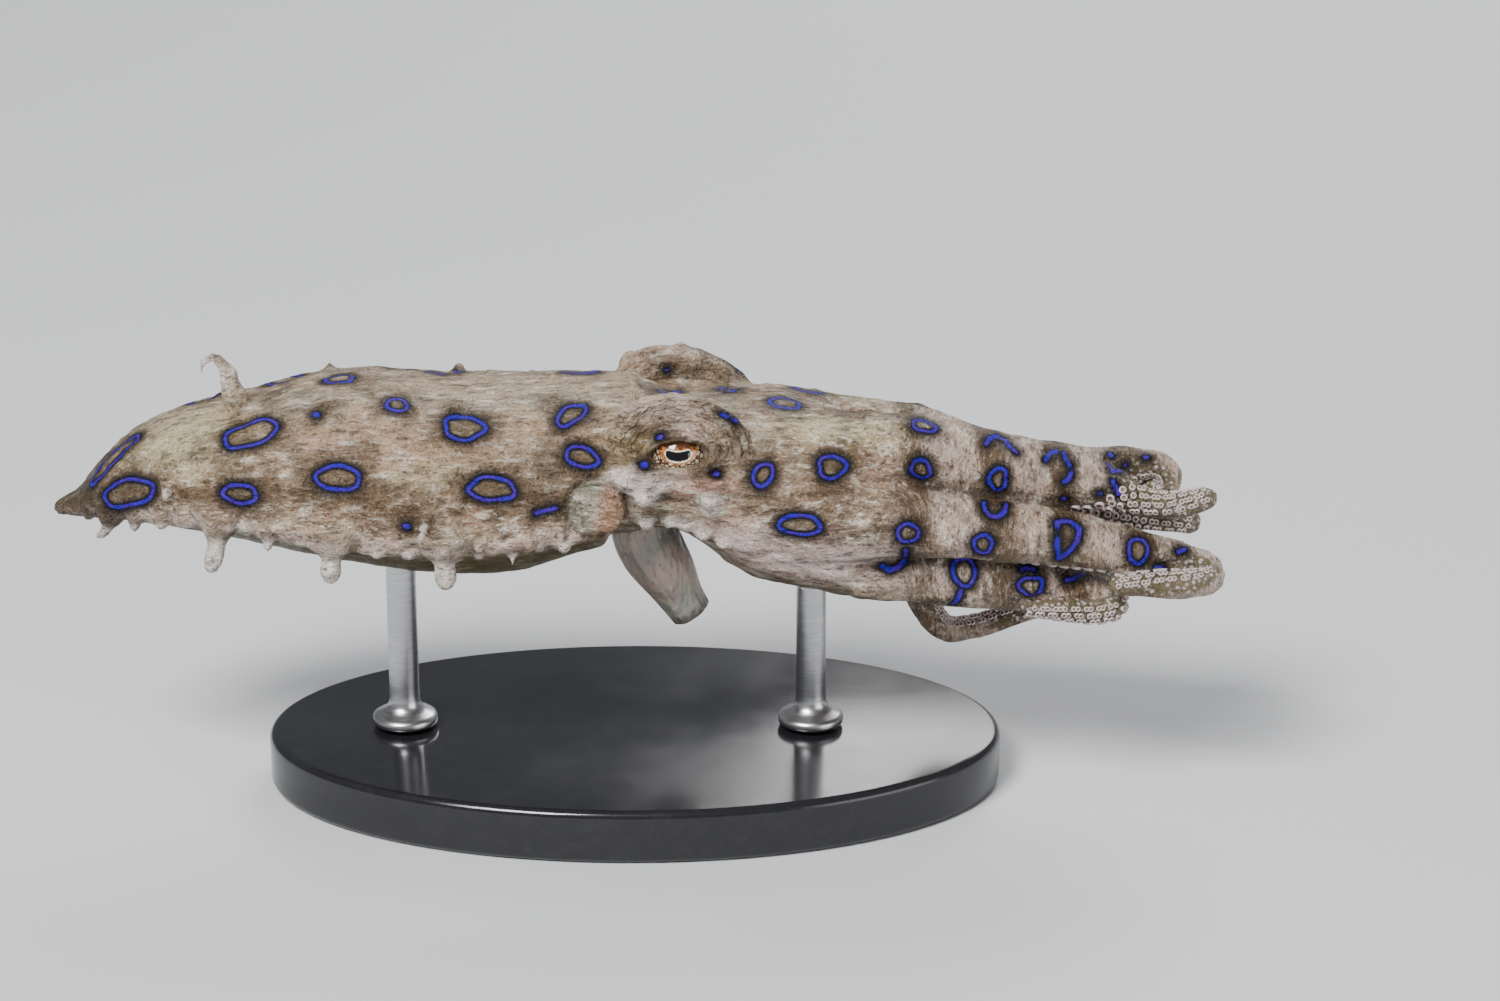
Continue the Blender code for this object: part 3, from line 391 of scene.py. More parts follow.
# Each arm: x, y, z and radius along its middle line, then the share of its length and the
# direction in which the suckers look there.
ARMS = {
    "right_1": (
        ((19.9, -3.0, 2.6, 2.55), (26.5, -2.5, 1.15, 2.35), (30.9, -2.4, 0.3, 2.1), (33.8, -2.5, -0.4, 1.65),
         (36.0, -2.8, -1.2, 1.15), (38.0, -3.0, -1.6, 0.98), (40.0, -3.0, -1.45, 0.92),
         (41.1, -2.9, -1.15, 0.8)),
        ((0.0, 0, 0.6, -0.8), (0.6, 0, 0.3, -0.9), (0.78, 0, -0.9, 0.3), (1.0, 0, -0.5, 0.9)),
    ),
    "right_2": (
        ((19.9, -5.9, -1.9, 2.35), (26.5, -5.4, -2.7, 2.15), (31.0, -5.1, -3.4, 1.95),
         (35.3, -4.9, -4.3, 1.6), (38.4, -4.85, -4.75, 1.15), (40.2, -4.9, -5.2, 0.95),
         (41.08, -5.2, -5.4, 0.90), (41.45, -5.75, -5.85, 0.92), (41.08, -6.35, -6.15, 0.95),
         (40.2, -6.75, -6.2, 0.98), (37.6, -6.95, -6.15, 0.98), (34.6, -6.9, -6.3, 0.72)),
        ((0.0, 0, 1, 0.1), (0.45, 0, 0.6, -0.8), (0.69, 0, -0.4, -0.9), (0.755, -1, 0, 0),
         (0.82, 0, 0.2, 0.95), (1.0, 0, -0.4, 0.9)),
    ),
    "right_3": (
        ((19.9, -4.6, -6.2, 2.0), (26.5, -4.2, -7.1, 1.95), (30.5, -4.0, -7.5, 1.5), (33.4, -4.1, -7.95, 1.1),
         (34.25, -4.44, -8.03, 1.0), (34.6, -5.28, -8.2, 0.92), (34.25, -6.1, -8.37, 0.88),
         (33.4, -6.45, -8.43, 0.85), (31.2, -6.9, -8.1, 0.85), (28.3, -7.1, -7.7, 0.72)),
        ((0.0, 0, 0.8, 0.6), (0.58, 0, 1, 0.15), (0.68, 1, 0, 0), (0.78, 0, -1, -0.2), (1.0, 0, -0.7, -0.7)),
    ),
    "right_4": (
        ((19.9, -0.7, -7.8, 1.6), (26.5, 0.1, -8.6, 1.6), (30.9, 0.2, -8.4, 1.35), (34.5, 0.2, -7.6, 1.0),
         (37.4, 0.0, -6.8, 0.7), (39.6, -0.2, -6.2, 0.42)),
        ((0.0, 0, 0.1, 1), (1.0, 0, 0.0, 1)),
    ),
    "left_1": (
        ((19.9, 2.8, 2.0, 2.1), (26.5, 2.1, -0.1, 2.0), (30.9, 2.0, -0.6, 1.85), (33.8, 2.0, -0.7, 1.65),
         (36.2, 2.0, -0.4, 1.3), (37.7, 1.95, -0.25, 1.0), (38.5, 1.85, -0.6, 0.98), (38.85, 1.7, -1.4, 0.95),
         (38.5, 1.55, -2.1, 0.9), (37.5, 1.4, -2.3, 0.85)),
        ((0.0, 0, -0.5, -0.9), (0.83, 0, -0.2, -1), (0.915, -1, 0, 0), (1.0, 0, 0, 1)),
    ),
    "left_2": (
        ((19.9, 5.9, -1.5, 1.9), (26.5, 5.3, -3.2, 1.9), (30.9, 4.9, -3.7, 1.7), (34.5, 4.5, -4.3, 1.4),
         (38.1, 4.0, -4.95, 1.15), (40.7, 3.6, -5.3, 0.85)),
        ((0.0, 0, -1, -0.2), (1.0, 0, -1, 0.2)),
    ),
    "left_3": (
        ((19.9, 5.5, -5.6, 1.8), (26.5, 5.0, -7.4, 1.8), (30.9, 4.6, -7.8, 1.6), (34.5, 4.2, -7.8, 1.25),
         (38.1, 3.8, -7.6, 0.85), (40.3, 3.6, -7.4, 0.42)),
        ((0.0, 0, -0.8, 0.6), (1.0, 0, -0.6, 0.8)),
    ),
    "left_4": (
        ((19.9, 2.9, -8.4, 1.5), (20.9, 3.0, -10.2, 1.35), (21.5, 3.0, -12.0, 1.05), (22.8, 3.0, -13.5, 0.9),
         (25.0, 3.0, -13.4, 0.85), (27.6, 3.0, -12.5, 0.8), (30.0, 3.0, -11.8, 0.7),
         (32.4, 3.0, -11.0, 0.42)),
        ((0.0, 1, 0, 0), (0.25, 1, 0, 0.2), (0.5, 0, 0, 1), (1.0, 0, 0, 1)),
    ),
}
ARM_SLIMMER = -0.06
ARM_LEAST = 0.3
ARM_SUNK = 4.0
ARM_STEP = 0.3
ARM_SIDES = 36
# Webs between neighbouring arms: the two arms, and where along x the web ends.
WEBS = (
    ("left_1", "right_1", 24.0), ("right_1", "right_2", 28.5), ("right_2", "right_3", 28.0),
    ("right_3", "right_4", 27.0), ("right_4", "left_3", 25.0), ("left_3", "left_2", 28.0),
    ("left_2", "left_1", 27.0),
)
WEB_START = 17.5
WEB_THICK = 0.9


def hump(value, wide, power=2):
    """1 where the value is 0, falling away on both sides as e to the -(value / wide)^power."""
    return np.exp(-((value / wide) ** power))


def lobed(angle):
    """How far the crown reaches in a direction: the outermost of the eight arm roots there, as a
    ray meets circles, with a lower web between them."""
    way = np.stack([np.cos(angle), np.sin(angle)], axis=-1)
    reach = np.zeros(angle.shape)
    for arm in ARMS.values():
        x, y, z, half = arm[0][0]
        to_root = np.array([y, z]) - CROWN_CENTRE
        along = way @ to_root
        aside = np.abs(way @ np.array([-to_root[1], to_root[0]]))
        depth = half**2 - aside**2
        hit = np.where(depth > 0, along + np.sqrt(np.maximum(depth, 0)), 0)
        web = np.where(along > 0, hump(aside, half * 1.35, 4) * (along + half * 0.55), 0)
        reach = np.maximum(reach, np.maximum(hit, web))
    return reach


def at_places(at, place, columns):
    """The columns, known at each place, read at other places on straight lines between them."""
    return np.column_stack([np.interp(at, place, column) for column in columns.T])


def run_along(path):
    """The distance along the path at each of its points."""
    return np.concatenate([[0], np.cumsum(np.linalg.norm(np.diff(path, axis=0), axis=1))])


def arm_line(path, facing):
    """An arm's middle line in even steps: places, radii, directions, sucker directions, and the
    distance along it."""
    keys = np.array(path)
    spans = run_along(keys[:, :3])
    fine = through(np.column_stack([spans, keys]), np.linspace(0, spans[-1], 600))
    run = run_along(fine[:, :3])
    even = np.linspace(0, run[-1], int(run[-1] / ARM_STEP) + 1)
    line = at_places(even, run, fine)
    way = unit(np.gradient(line[:, :3], axis=0))
    keys = np.array(facing)
    oral = at_places(even / run[-1], keys[:, 0], keys[:, 1:])
    oral = unit(oral - way * (oral * way).sum(axis=1)[:, None])
    return line[:, :3], line[:, 3], way, oral, even


def arm_skin(places, halves, way, oral):
    """An arm as rings square to its line: circles a little flatter where the suckers stand, with
    a round tip and a root that runs straight back into the crown."""
    turn = full_turn(ARM_SIDES)[:, None]
    flat = 1 - 0.1 * np.clip(np.cos(turn), 0, 1)
    circle = np.cos(turn) * flat * oral[:, None] + np.sin(turn) * np.cross(way, oral)[:, None]
    halves = np.maximum(halves - ARM_SLIMMER, ARM_LEAST)[:, None, None]
    rings = places[:, None] + circle * halves
    back = np.linspace(ARM_SUNK, 0.4, 8)[:, None, None]
    root = rings[0] - way[0] * back * (1, 0.3, 0.3)
    close = np.linspace(0.3, 1, 4)[:, None, None] * 0.95
    tip = places[-1] + way[-1] * halves[-1] * close + circle[-1] * halves[-1] * np.sqrt(1 - close**2)
    rings = np.concatenate([root, rings, tip])
    return closed_skin(rings, root[0].mean(axis=0), places[-1] + way[-1] * halves[-1].ravel())


def web(first, second, end):
    """The web between two arms: flat ovals that reach from one middle line to the other at each
    x, thinning to an edge at the end."""
    x = np.linspace(WEB_START, end, 30)
    one, two = (np.column_stack([x, at_places(x, line[:60, 0], line[:60, 1:])]) for line in (first, second))
    middle = (one + two) / 2
    half = (two - one) / 2 * 0.92
    thick = WEB_THICK * np.sqrt(np.clip(1 - ((x - WEB_START) / (end - WEB_START + 0.05)) ** 3, 0, 1))
    over = unit(np.cross(half, (1.0, 0.0, 0.0))) * thick[:, None]
    turn = full_turn(40)[:, None]
    rings = middle[:, None] + np.cos(turn) * half[:, None] + np.sin(turn) * over[:, None]
    return closed_skin(rings, middle[0], middle[-1])


crown_places = np.linspace(HEAD_END - 1.0, CROWN_END, CROWN_STEPS)
crown_y, crown_z = section(through(TRUNK, crown_places), sides=CROWN_SIDES)
from_centre = np.stack([crown_y, crown_z], axis=-1) - CROWN_CENTRE
angle = np.arctan2(from_centre[..., 1], from_centre[..., 0])
share = (np.clip((crown_places - HEAD_END) / (CROWN_END - HEAD_END), 0, 1) ** 2)[:, None]
reach = np.linalg.norm(from_centre, axis=-1) * (1 - share) + lobed(angle) * share
outline = CROWN_CENTRE + np.stack([np.cos(angle), np.sin(angle)], axis=-1) * reach[..., None]
crown_x = np.broadcast_to(crown_places[:, None, None], (CROWN_STEPS, CROWN_SIDES, 1))
crown_rings = np.concatenate([crown_x, outline], axis=-1)
crown_middle = np.array([CROWN_END, *CROWN_CENTRE])
rim = [crown_middle + (crown_rings[-1] - crown_middle) * scale + (away, 0, 0) for away, scale in CROWN_RIM]
flesh.append(closed_skin(np.concatenate([crown_rings, rim]), crown_rings[0].mean(axis=0), crown_middle))

arm_lines = {name: arm_line(*arm) for name, arm in ARMS.items()}
for first, second, end in WEBS:
    flesh.append(web(arm_lines[first][0], arm_lines[second][0], end))
for line in arm_lines.values():
    flesh.append(arm_skin(*line[:4]))


# One skin covers the whole animal without a seam. The forms are melted together on a fine voxel
# grid and relaxed, and then the muscle folds, wrinkles and the eyes' sockets are pressed into it.
SKIN_VOXEL = 0.266
SKIN_RELAX = 3
EYE_OPEN_LENGTH = 2.02
EYE_OPEN_HEIGHT = 0.92
SOCKET_DEEP = 1.0
# Low lengthwise pleats, scallops along the fringe, grooves between the arms, ripples on the eye
# mounds and small soft warts on the back.
PLEAT_HIGH = 0.075
SCALLOP_HIGH = 0.17
GROOVE_DEEP = 0.22
RIPPLE_HIGH = 0.11
RIPPLE_WIDE = 0.62
LOBE_RIPPLE = 0.42
WARTS = 150
GRAIN_WAVES = 24
FAR = 99.0
SKIN_NODES = sorted(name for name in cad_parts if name.split("_")[0] in ("mantle", "head", "arm"))


def make_piece(name, vertices, faces, material=None, axis=AXIS):
    """One smooth mesh object from vertices in millimetres about an axis."""
    mesh = bpy.data.meshes.new(name)
    mesh.from_pydata(((vertices + axis) * MM).tolist(), [], faces)
    mesh.shade_smooth()
    if material:
        mesh.materials.append(material)
    made = bpy.data.objects.new(name, mesh)
    bpy.context.scene.collection.objects.link(made)
    return made


def joined(shells):
    """Many closed surfaces as one list of vertices and one of faces."""
    starts = np.cumsum([0] + [len(vertices) for vertices, faces in shells])
    faces = [[start + i for i in face] for start, shell in zip(starts, shells) for face in shell[1]]
    return np.vstack([vertices for vertices, faces in shells]), faces


def grain(size, seed, stretch=1.0):
    """A soft random field over the skin between about -1 and 1: the mean of sine waves about one
    size long, whose directions and phases are drawn from the seed, stretched along X."""
    draw = np.random.default_rng(seed)
    ways = unit(draw.normal(size=(GRAIN_WAVES, 3))) * draw.uniform(0.7, 1.4, (GRAIN_WAVES, 1))
    ways = ways / (stretch, 1, 1)
    phase = draw.uniform(0, math.tau, GRAIN_WAVES)
    waves = np.sin(points @ (ways.T * math.tau / size) + phase)
    return waves.mean(axis=1) * math.sqrt(GRAIN_WAVES) / 1.5


def read_mesh(key):
    """The skin's co or normal at each vertex."""
    flat = np.empty(len(skin.data.vertices) * 3)
    skin.data.vertices.foreach_get(key, flat)
    return flat.reshape(-1, 3)


skin = make_piece("skin", *joined(flesh))
remesh = skin.modifiers.new("melt", "REMESH")
remesh.mode = "VOXEL"
remesh.voxel_size = SKIN_VOXEL * MM
relax = skin.modifiers.new("relax", "SMOOTH")
relax.factor = 0.5
relax.iterations = SKIN_RELAX
melted = bpy.data.meshes.new_from_object(skin.evaluated_get(bpy.context.evaluated_depsgraph_get()))
skin.modifiers.clear()
skin.data = melted
melted.shade_smooth()
points = read_mesh("co") / MM - AXIS
normals = read_mesh("normal")
skin_x, skin_y, skin_z = points.T

for hand in HANDS:
    middle, look, along, up = eye_axes(hand)
    offset = points - middle
    out = offset @ look
    aside = np.hypot(offset @ along / EYE_OPEN_LENGTH, offset @ up / EYE_OPEN_HEIGHT)
    inside = smooth(1.12 - aside, 0.0, 0.22) * (out > 0)
    points -= look * (np.maximum(out - (EYE_RADIUS - SOCKET_DEEP), 0) * inside)[:, None]

# Where each point of the skin belongs: the mantle or not, and which arm, how far along it, and
# how much it looks to the sucker side.
on_mantle = smooth(-skin_x, 1.6, 2.2) * (1 - smooth(skin_x + 0.35 * np.abs(skin_y), 0.6, 1.2))
ridge_z, ridge_half = through(MANTLE, skin_x)[:, :2].T
over_ridge = skin_z - ridge_z
on_arm = smooth(skin_x, 19.0, 21.5)
arm_gap, next_gap, round_eye = (np.full(len(points), FAR) for k in range(3))
arm_run, arm_oral, arm_long, on_mound = (np.zeros(len(points)) for k in range(4))
for places, halves, way, oral, run in arm_lines.values():
    near = np.flatnonzero(skin_x > 18.0)
    away = np.linalg.norm(points[near, None] - places[None], axis=2)
    best = (away - halves).argmin(axis=1)
    gap = away[np.arange(len(near)), best] - halves[best]
    closer = gap < arm_gap[near]
    next_gap[near] = np.where(closer, arm_gap[near], np.minimum(next_gap[near], gap))
    near, best, gap = near[closer], best[closer], gap[closer]
    arm_gap[near] = gap
    arm_run[near] = run[best]
    arm_oral[near] = ((points[near] - places[best]) * oral[best]).sum(axis=1) / halves[best]
    arm_long[near] = run[-1]

pleats = grain(1.5, 3, 2.6) + 0.6 * grain(0.8, 4, 2.0)
calm = 1 - 0.8 * smooth(0.6 - over_ridge, 0, 1.5) * on_mantle
lift = PLEAT_HIGH * pleats * calm * (1 - 0.5 * on_arm * smooth(arm_oral, 0, 0.5))
near_fringe = hump(over_ridge + 0.1, 0.65) * on_mantle * (np.abs(skin_y) > ridge_half * 0.8)
scallop = np.sin(skin_x * 3.3 + 0.8 * np.sin(skin_x * 1.3)) + 0.5 * np.sin(skin_x * 5.3 + 2)
lift += SCALLOP_HIGH * near_fringe * scallop
groove = smooth(skin_x, 18.5, 21.5) * hump(next_gap - arm_gap, 0.42) * (next_gap < 2.0)
lift -= GROOVE_DEEP * groove
for hand in HANDS:
    middle, look, along, up = eye_axes(hand)
    offset = points - middle
    away = np.hypot(offset @ along * 0.75, offset @ up)
    upper = (offset @ look > -1.0) * smooth(offset @ up, -0.6, 0.8)
    mound = smooth(away, 1.5, 2.1) * (1 - smooth(away, 3.6, 4.4)) * upper
    swerve = 0.8 * np.sin(offset @ along * 1.7)
    lift += RIPPLE_HIGH * mound * np.sin(away * math.tau / RIPPLE_WIDE + swerve)
    round_eye = np.where(mound > on_mound, away, round_eye)
    on_mound = np.maximum(on_mound, mound)
    whorl = np.sin(np.hypot(offset[:, 0] + 3.7, offset[:, 2] - 2.95) * 12)
    lift += 0.05 * (1 - smooth(np.linalg.norm(points - mirrored(WART[0], hand), axis=1), 1.2, 1.5)) * whorl
    offset = points - mirrored(LOBE[0], hand)
    away = np.hypot(offset[:, 0], offset[:, 2])
    out = offset[:, 1] * hand > -0.6
    lift += out * (0.12 * (1 - smooth(away, 1.75, 2.05)) - 0.22 * hump(away - 2.2, 0.22))
    lift += out * 0.03 * (1 - smooth(away, 1.6, 1.9)) * np.sin(away * math.tau / LOBE_RIPPLE)
draw = np.random.default_rng(21)
back = np.flatnonzero((normals[:, 2] > 0.1) & (skin_x < 36))
for seat in draw.choice(back, WARTS, replace=False):
    wide = draw.uniform(0.22, 0.5)
    away = np.linalg.norm(points - points[seat], axis=1)
    lift += draw.uniform(0.25, 0.5) * wide * hump(away, wide)
    lift -= 0.04 * hump(away - 1.6 * wide, 0.5 * wide)
points += normals * lift[:, None]
skin.data.vertices.foreach_set("co", ((points + AXIS) * MM).ravel())
skin.data.update()
normals = read_mesh("normal")

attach(skin, "root")
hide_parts(*SKIN_NODES)


# The rings are colour cells in the skin: a line of bright blue with blue-black edges, in a soft
# dark halo. Each is drawn where the camera sees it and laid on the skin, as a distance field.
LINE_HALF = 0.14
RING_STEPS = 96
RING_ROOM = 3.0
NO_RING = 9.0
OVER_BACK = 12.0
# Rings of the right side: place in the picture, half width, half height, tilt, and how much the
# sides are pinched in.
RINGS = (
    (129, 493, 25, 13.5, 12, 0.05), (251, 434, 27, 14, 19, 0.25), (240, 494, 17, 9, -7, 0.0),
    (397, 405, 10.5, 6, -8, 0.0), (464, 428, 20, 11.5, -4, 0.0), (338, 478, 22, 12, -3, 0.0),
    (492, 489, 23, 11.5, -3, 0.0), (571, 415, 16, 8, 30, 0.0), (582, 457, 16.5, 9.5, -17, 0.0),
    (763, 475, 9, 12, -32, 0.0), (924, 426, 12, 6, -15, 0.2), (832, 467, 13.5, 11, 3, 0.0),
    (921, 469, 10, 8.5, -35, 0.0), (998, 479, 8.5, 11, -8, 0.0), (800, 525, 21, 10, -4, 0.05),
    (908, 533, 10.5, 9, 0, 0.0), (983, 544, 9, 9, 0, 0.0), (964, 572, 11, 14, 12, 0.0),
    (1138, 551, 9.5, 12.5, 0, 0.0), (1031, 586, 12, 9.5, 0, 0.1),
)
# Open strokes of the same blue: half of the line's width, then the points it runs through.
STROKES = (
    (2.6, (536, 513), (545, 511), (556, 508)), (3.2, (315, 414), (317, 415)),
    (3.0, (405, 526), (408, 527)),
    (3.6, (643, 465), (645, 465)), (3.0, (659, 438), (661, 437)), (3.0, (715, 473), (717, 474)),
    (1.8, (666, 370), (668, 370)), (2.8, (660, 391), (665, 393)), (2.8, (673, 392), (679, 392)),
    (2.6, (720, 389), (725, 388)), (2.6, (729, 391), (735, 390)), (2.4, (722, 415), (728, 417)),
    (2.4, (733, 420), (738, 421)),
    (2.6, (986, 444), (990, 438), (997, 436), (1004, 439), (1009, 446), (1016, 452)),
    (2.6, (984, 503), (985, 510), (990, 516), (998, 517), (1005, 512), (1006, 504)),
    (2.8, (882, 566), (889, 570), (897, 568), (905, 561), (906, 550)),
    (2.4, (1046, 460), (1050, 453), (1056, 451)), (2.4, (1063, 452), (1066, 459), (1070, 466)),
    (2.6, (1071, 473), (1069, 479), (1064, 482)), (2.8, (1063, 498), (1065, 499)),
    (2.8, (1110, 454), (1112, 456)), (2.8, (1108, 464), (1112, 471), (1120, 471), (1125, 465)),
    (2.6, (1113, 481), (1116, 488), (1119, 495)), (2.6, (1145, 457), (1148, 457)),
    (2.8, (1057, 522), (1069, 521), (1080, 529), (1077, 541), (1068, 553), (1059, 559), (1057, 546),
     (1057, 522)),
    (3.0, (1022, 569), (1030, 568), (1034, 570)), (2.4, (1066, 580), (1073, 579), (1086, 573)),
    (2.6, (1178, 552), (1185, 549)), (2.4, (1156, 567), (1163, 567)),
    (2.6, (953, 604), (958, 599), (961, 590)), (2.2, (1099, 494), (1101, 494)),
)
# Rings on the back: x, y, half length, half width, turn, pinch.
BACK_RINGS = (
    (-37.3, -1.9, 1.8, 0.75, 12, 0.1), (-31.0, 2.6, 1.3, 0.9, 20, 0.0), (-25.4, 2.4, 1.2, 0.8, -10, 0.1),
    (-21.1, -0.4, 1.0, 0.8, 0, 0.1), (-13.8, 2.8, 1.2, 0.9, 0, 0.2), (-4.0, 2.1, 1.2, 0.8, 0, 0.1),
    (10.9, -1.6, 1.05, 0.95, 0, 0.2), (12.6, 2.6, 1.0, 0.8, 15, 0.1), (15.8, -1.0, 0.8, 0.6, 0, 0.3),
)

skin_tree = BVHTree.FromObject(skin, bpy.context.evaluated_depsgraph_get())
view_turn = np.array(camera.rotation_euler.to_matrix())


def seen_at(pixels, depth=None):
    """Places on the skin, in millimetres about the axis, that the camera sees at the pixels: a ray
    from the lens through each one. A ray that misses takes the skin nearest to it at depth."""
    across = (pixels[:, 0] - FRAME_WIDE / 2) / FRAME_WIDE * SENSOR / LENS
    up = (FRAME_HIGH / 2 - pixels[:, 1]) / FRAME_WIDE * SENSOR / LENS
    found = []
    for way in unit(np.column_stack([across, up, -np.ones(len(pixels))]) @ view_turn.T):
        place, normal, index, distance = skin_tree.ray_cast(Vector(camera_place), Vector(way))
        if place is None or (depth is not None and abs(distance - depth) > 0.003):
            place = skin_tree.find_nearest(Vector(camera_place + way * (depth or CAMERA_AWAY)))[0]
        found.append(place)
    return np.array(found) / MM - AXIS


def onto_skin(places, below=False):
    """The skin's nearest places to the given ones, or those straight below them."""
    starts = [Vector((place + AXIS) * MM) for place in places]
    if below:
        found = [skin_tree.ray_cast(start, Vector((0, 0, -1)))[0] for start in starts]
    else:
        found = [skin_tree.find_nearest(start)[0] for start in starts]
    return np.array(found) / MM - AXIS


def oval(wide, high, tilt, pinch, wobble):
    """Points round an oval: half axes wide and high, the sides drawn in by pinch times the square
    of the sine, the radius wavering with the third and fifth harmonic, turned by tilt."""
    a = full_turn(RING_STEPS)
    waver = 1 + wobble[0] * np.sin(3 * a + wobble[1]) + wobble[2] * np.sin(5 * a + wobble[3])
    x = wide * np.cos(a) * waver
    y = high * np.sin(a) * waver * (1 - pinch * np.sin(a) ** 2)
    turn = math.radians(tilt)
    return np.column_stack([x * math.cos(turn) - y * math.sin(turn), x * math.sin(turn) + y * math.cos(turn)])


def line_distance(outline, closed):
    """The skin's points that are near the outline, and how far each is from its nearest span."""
    middle = outline.mean(axis=0)
    reach = np.linalg.norm(outline - middle, axis=1).max() + RING_ROOM
    near = np.flatnonzero(np.linalg.norm(points - middle, axis=1) < reach)
    starts = outline if closed else outline[:-1]
    run = (np.roll(outline, -1, axis=0) if closed else outline[1:]) - starts
    length = np.maximum((run**2).sum(axis=1), 1e-9)
    share = np.clip(((points[near, None] - starts) * run).sum(axis=2) / length, 0, 1)
    nearest = starts + run * share[..., None]
    return near, np.linalg.norm(points[near, None] - nearest, axis=2).min(axis=1)


def lay_ring(outline):
    """Adds a ring to the field: the distance to its outline, less than nothing inside it. A point
    is inside when its radius in the ring's own plane is under the outline's there."""
    near, distance = line_distance(outline, True)
    middle = outline.mean(axis=0)
    axes = np.linalg.svd(outline - middle, full_matrices=False)[2]
    flat = (points[near] - middle) @ axes[:2].T
    rim = (outline - middle) @ axes[:2].T
    rim_turn = np.arctan2(rim[:, 1], rim[:, 0])
    order = rim_turn.argsort()
    rim_reach = np.linalg.norm(rim, axis=1)[order]
    limit = np.interp(np.arctan2(flat[:, 1], flat[:, 0]), rim_turn[order], rim_reach, period=math.tau)
    deep = np.abs((points[near] - middle) @ axes[2]) < 1.6
    signed = np.where((np.linalg.norm(flat, axis=1) < limit) & deep, -distance, distance)
    ring[near] = np.where(np.abs(signed) < np.abs(ring[near]), signed, ring[near])


def lay_stroke(outline, half):
    """Adds an open stroke or a dot to the field: the distance to its points less half its width."""
    near, distance = line_distance(outline, False)
    stroke[near] = np.minimum(stroke[near], distance - half)


ring, stroke = (np.full(len(points), NO_RING) for k in range(2))
draw = np.random.default_rng(11)
for px, py, wide, high, tilt, pinch in RINGS:
    wobble = [draw.uniform(*span) for span in ((0.03, 0.09), (0, 6), (0.02, 0.05), (0, 6))]
    flat = oval(wide, high, tilt, pinch, wobble)
    depth = np.linalg.norm((seen_at(np.array([[px, py]]))[0] + AXIS) * MM - camera_place)
    outline = seen_at((px, py) + flat * (1, -1), depth)
    lay_ring(outline)
    change = draw.uniform(0.85, 1.15)
    shift = np.array([draw.uniform(-1.0, 1.0), 0, draw.uniform(-0.4, 0.4)])
    other = outline * (1, -1, 1)
    other = other.mean(axis=0) + (other - other.mean(axis=0)) * change + shift
    if other[:, 1].mean() > 1.0:
        waves = np.fft.rfft(onto_skin(other), axis=0)
        waves[3:] = 0
        lay_ring(onto_skin(np.fft.irfft(waves, RING_STEPS, axis=0)))
for half, *pixels in STROKES:
    outline = seen_at(np.array(pixels, dtype=float))
    lay_stroke(outline, half * PIXEL)
    other = outline * (1, -1, 1) + (draw.uniform(-0.5, 0.5), 0, 0)
    if other[:, 1].mean() > 2.0:
        lay_stroke(onto_skin(other), half * PIXEL)
for x, y, long, wide, turn, pinch in BACK_RINGS:
    flat = oval(long, wide, turn, pinch, (0.05, x, 0.03, y)) + (x, y)
    lay_ring(onto_skin(np.column_stack([flat, np.full(RING_STEPS, OVER_BACK)]), below=True))


# The ground colour of the skin is laid in washes: tan with brown round the rings, cream behind,
# a dark tail, a pale fringe and papillae, and pale and brown bands on the arms. The belly is olive,
# partly its own colour and partly painted shade, and olive painted shade also lies where the skin
# looks down. Dark painted shade lies in the grooves between the arms, under the cheek folds and
# round the lobes.
TAN = (0.43, 0.275, 0.165)
CREAM = (0.60, 0.52, 0.30)
GREY = (0.45, 0.385, 0.285)
BROWN = (0.090, 0.048, 0.017)
DARK_AND_PAINTED_SHADE = (0.020, 0.013, 0.005)
PINK_WHITE = (0.72, 0.54, 0.47)
PINK = (0.58, 0.34, 0.26)
WEB_PINK_AND_PAINTED_LIGHT = (0.88, 0.67, 0.62)
TAIL_BROWN = (0.050, 0.033, 0.012)
WHITE = (0.86, 0.76, 0.68)
OLIVE_PAINTED_SHADE = (0.095, 0.075, 0.030)
YELLOW = (0.60, 0.44, 0.14)
LOBE_GREEN = (0.24, 0.25, 0.18)
LOBE_PINK = (0.48, 0.25, 0.15)
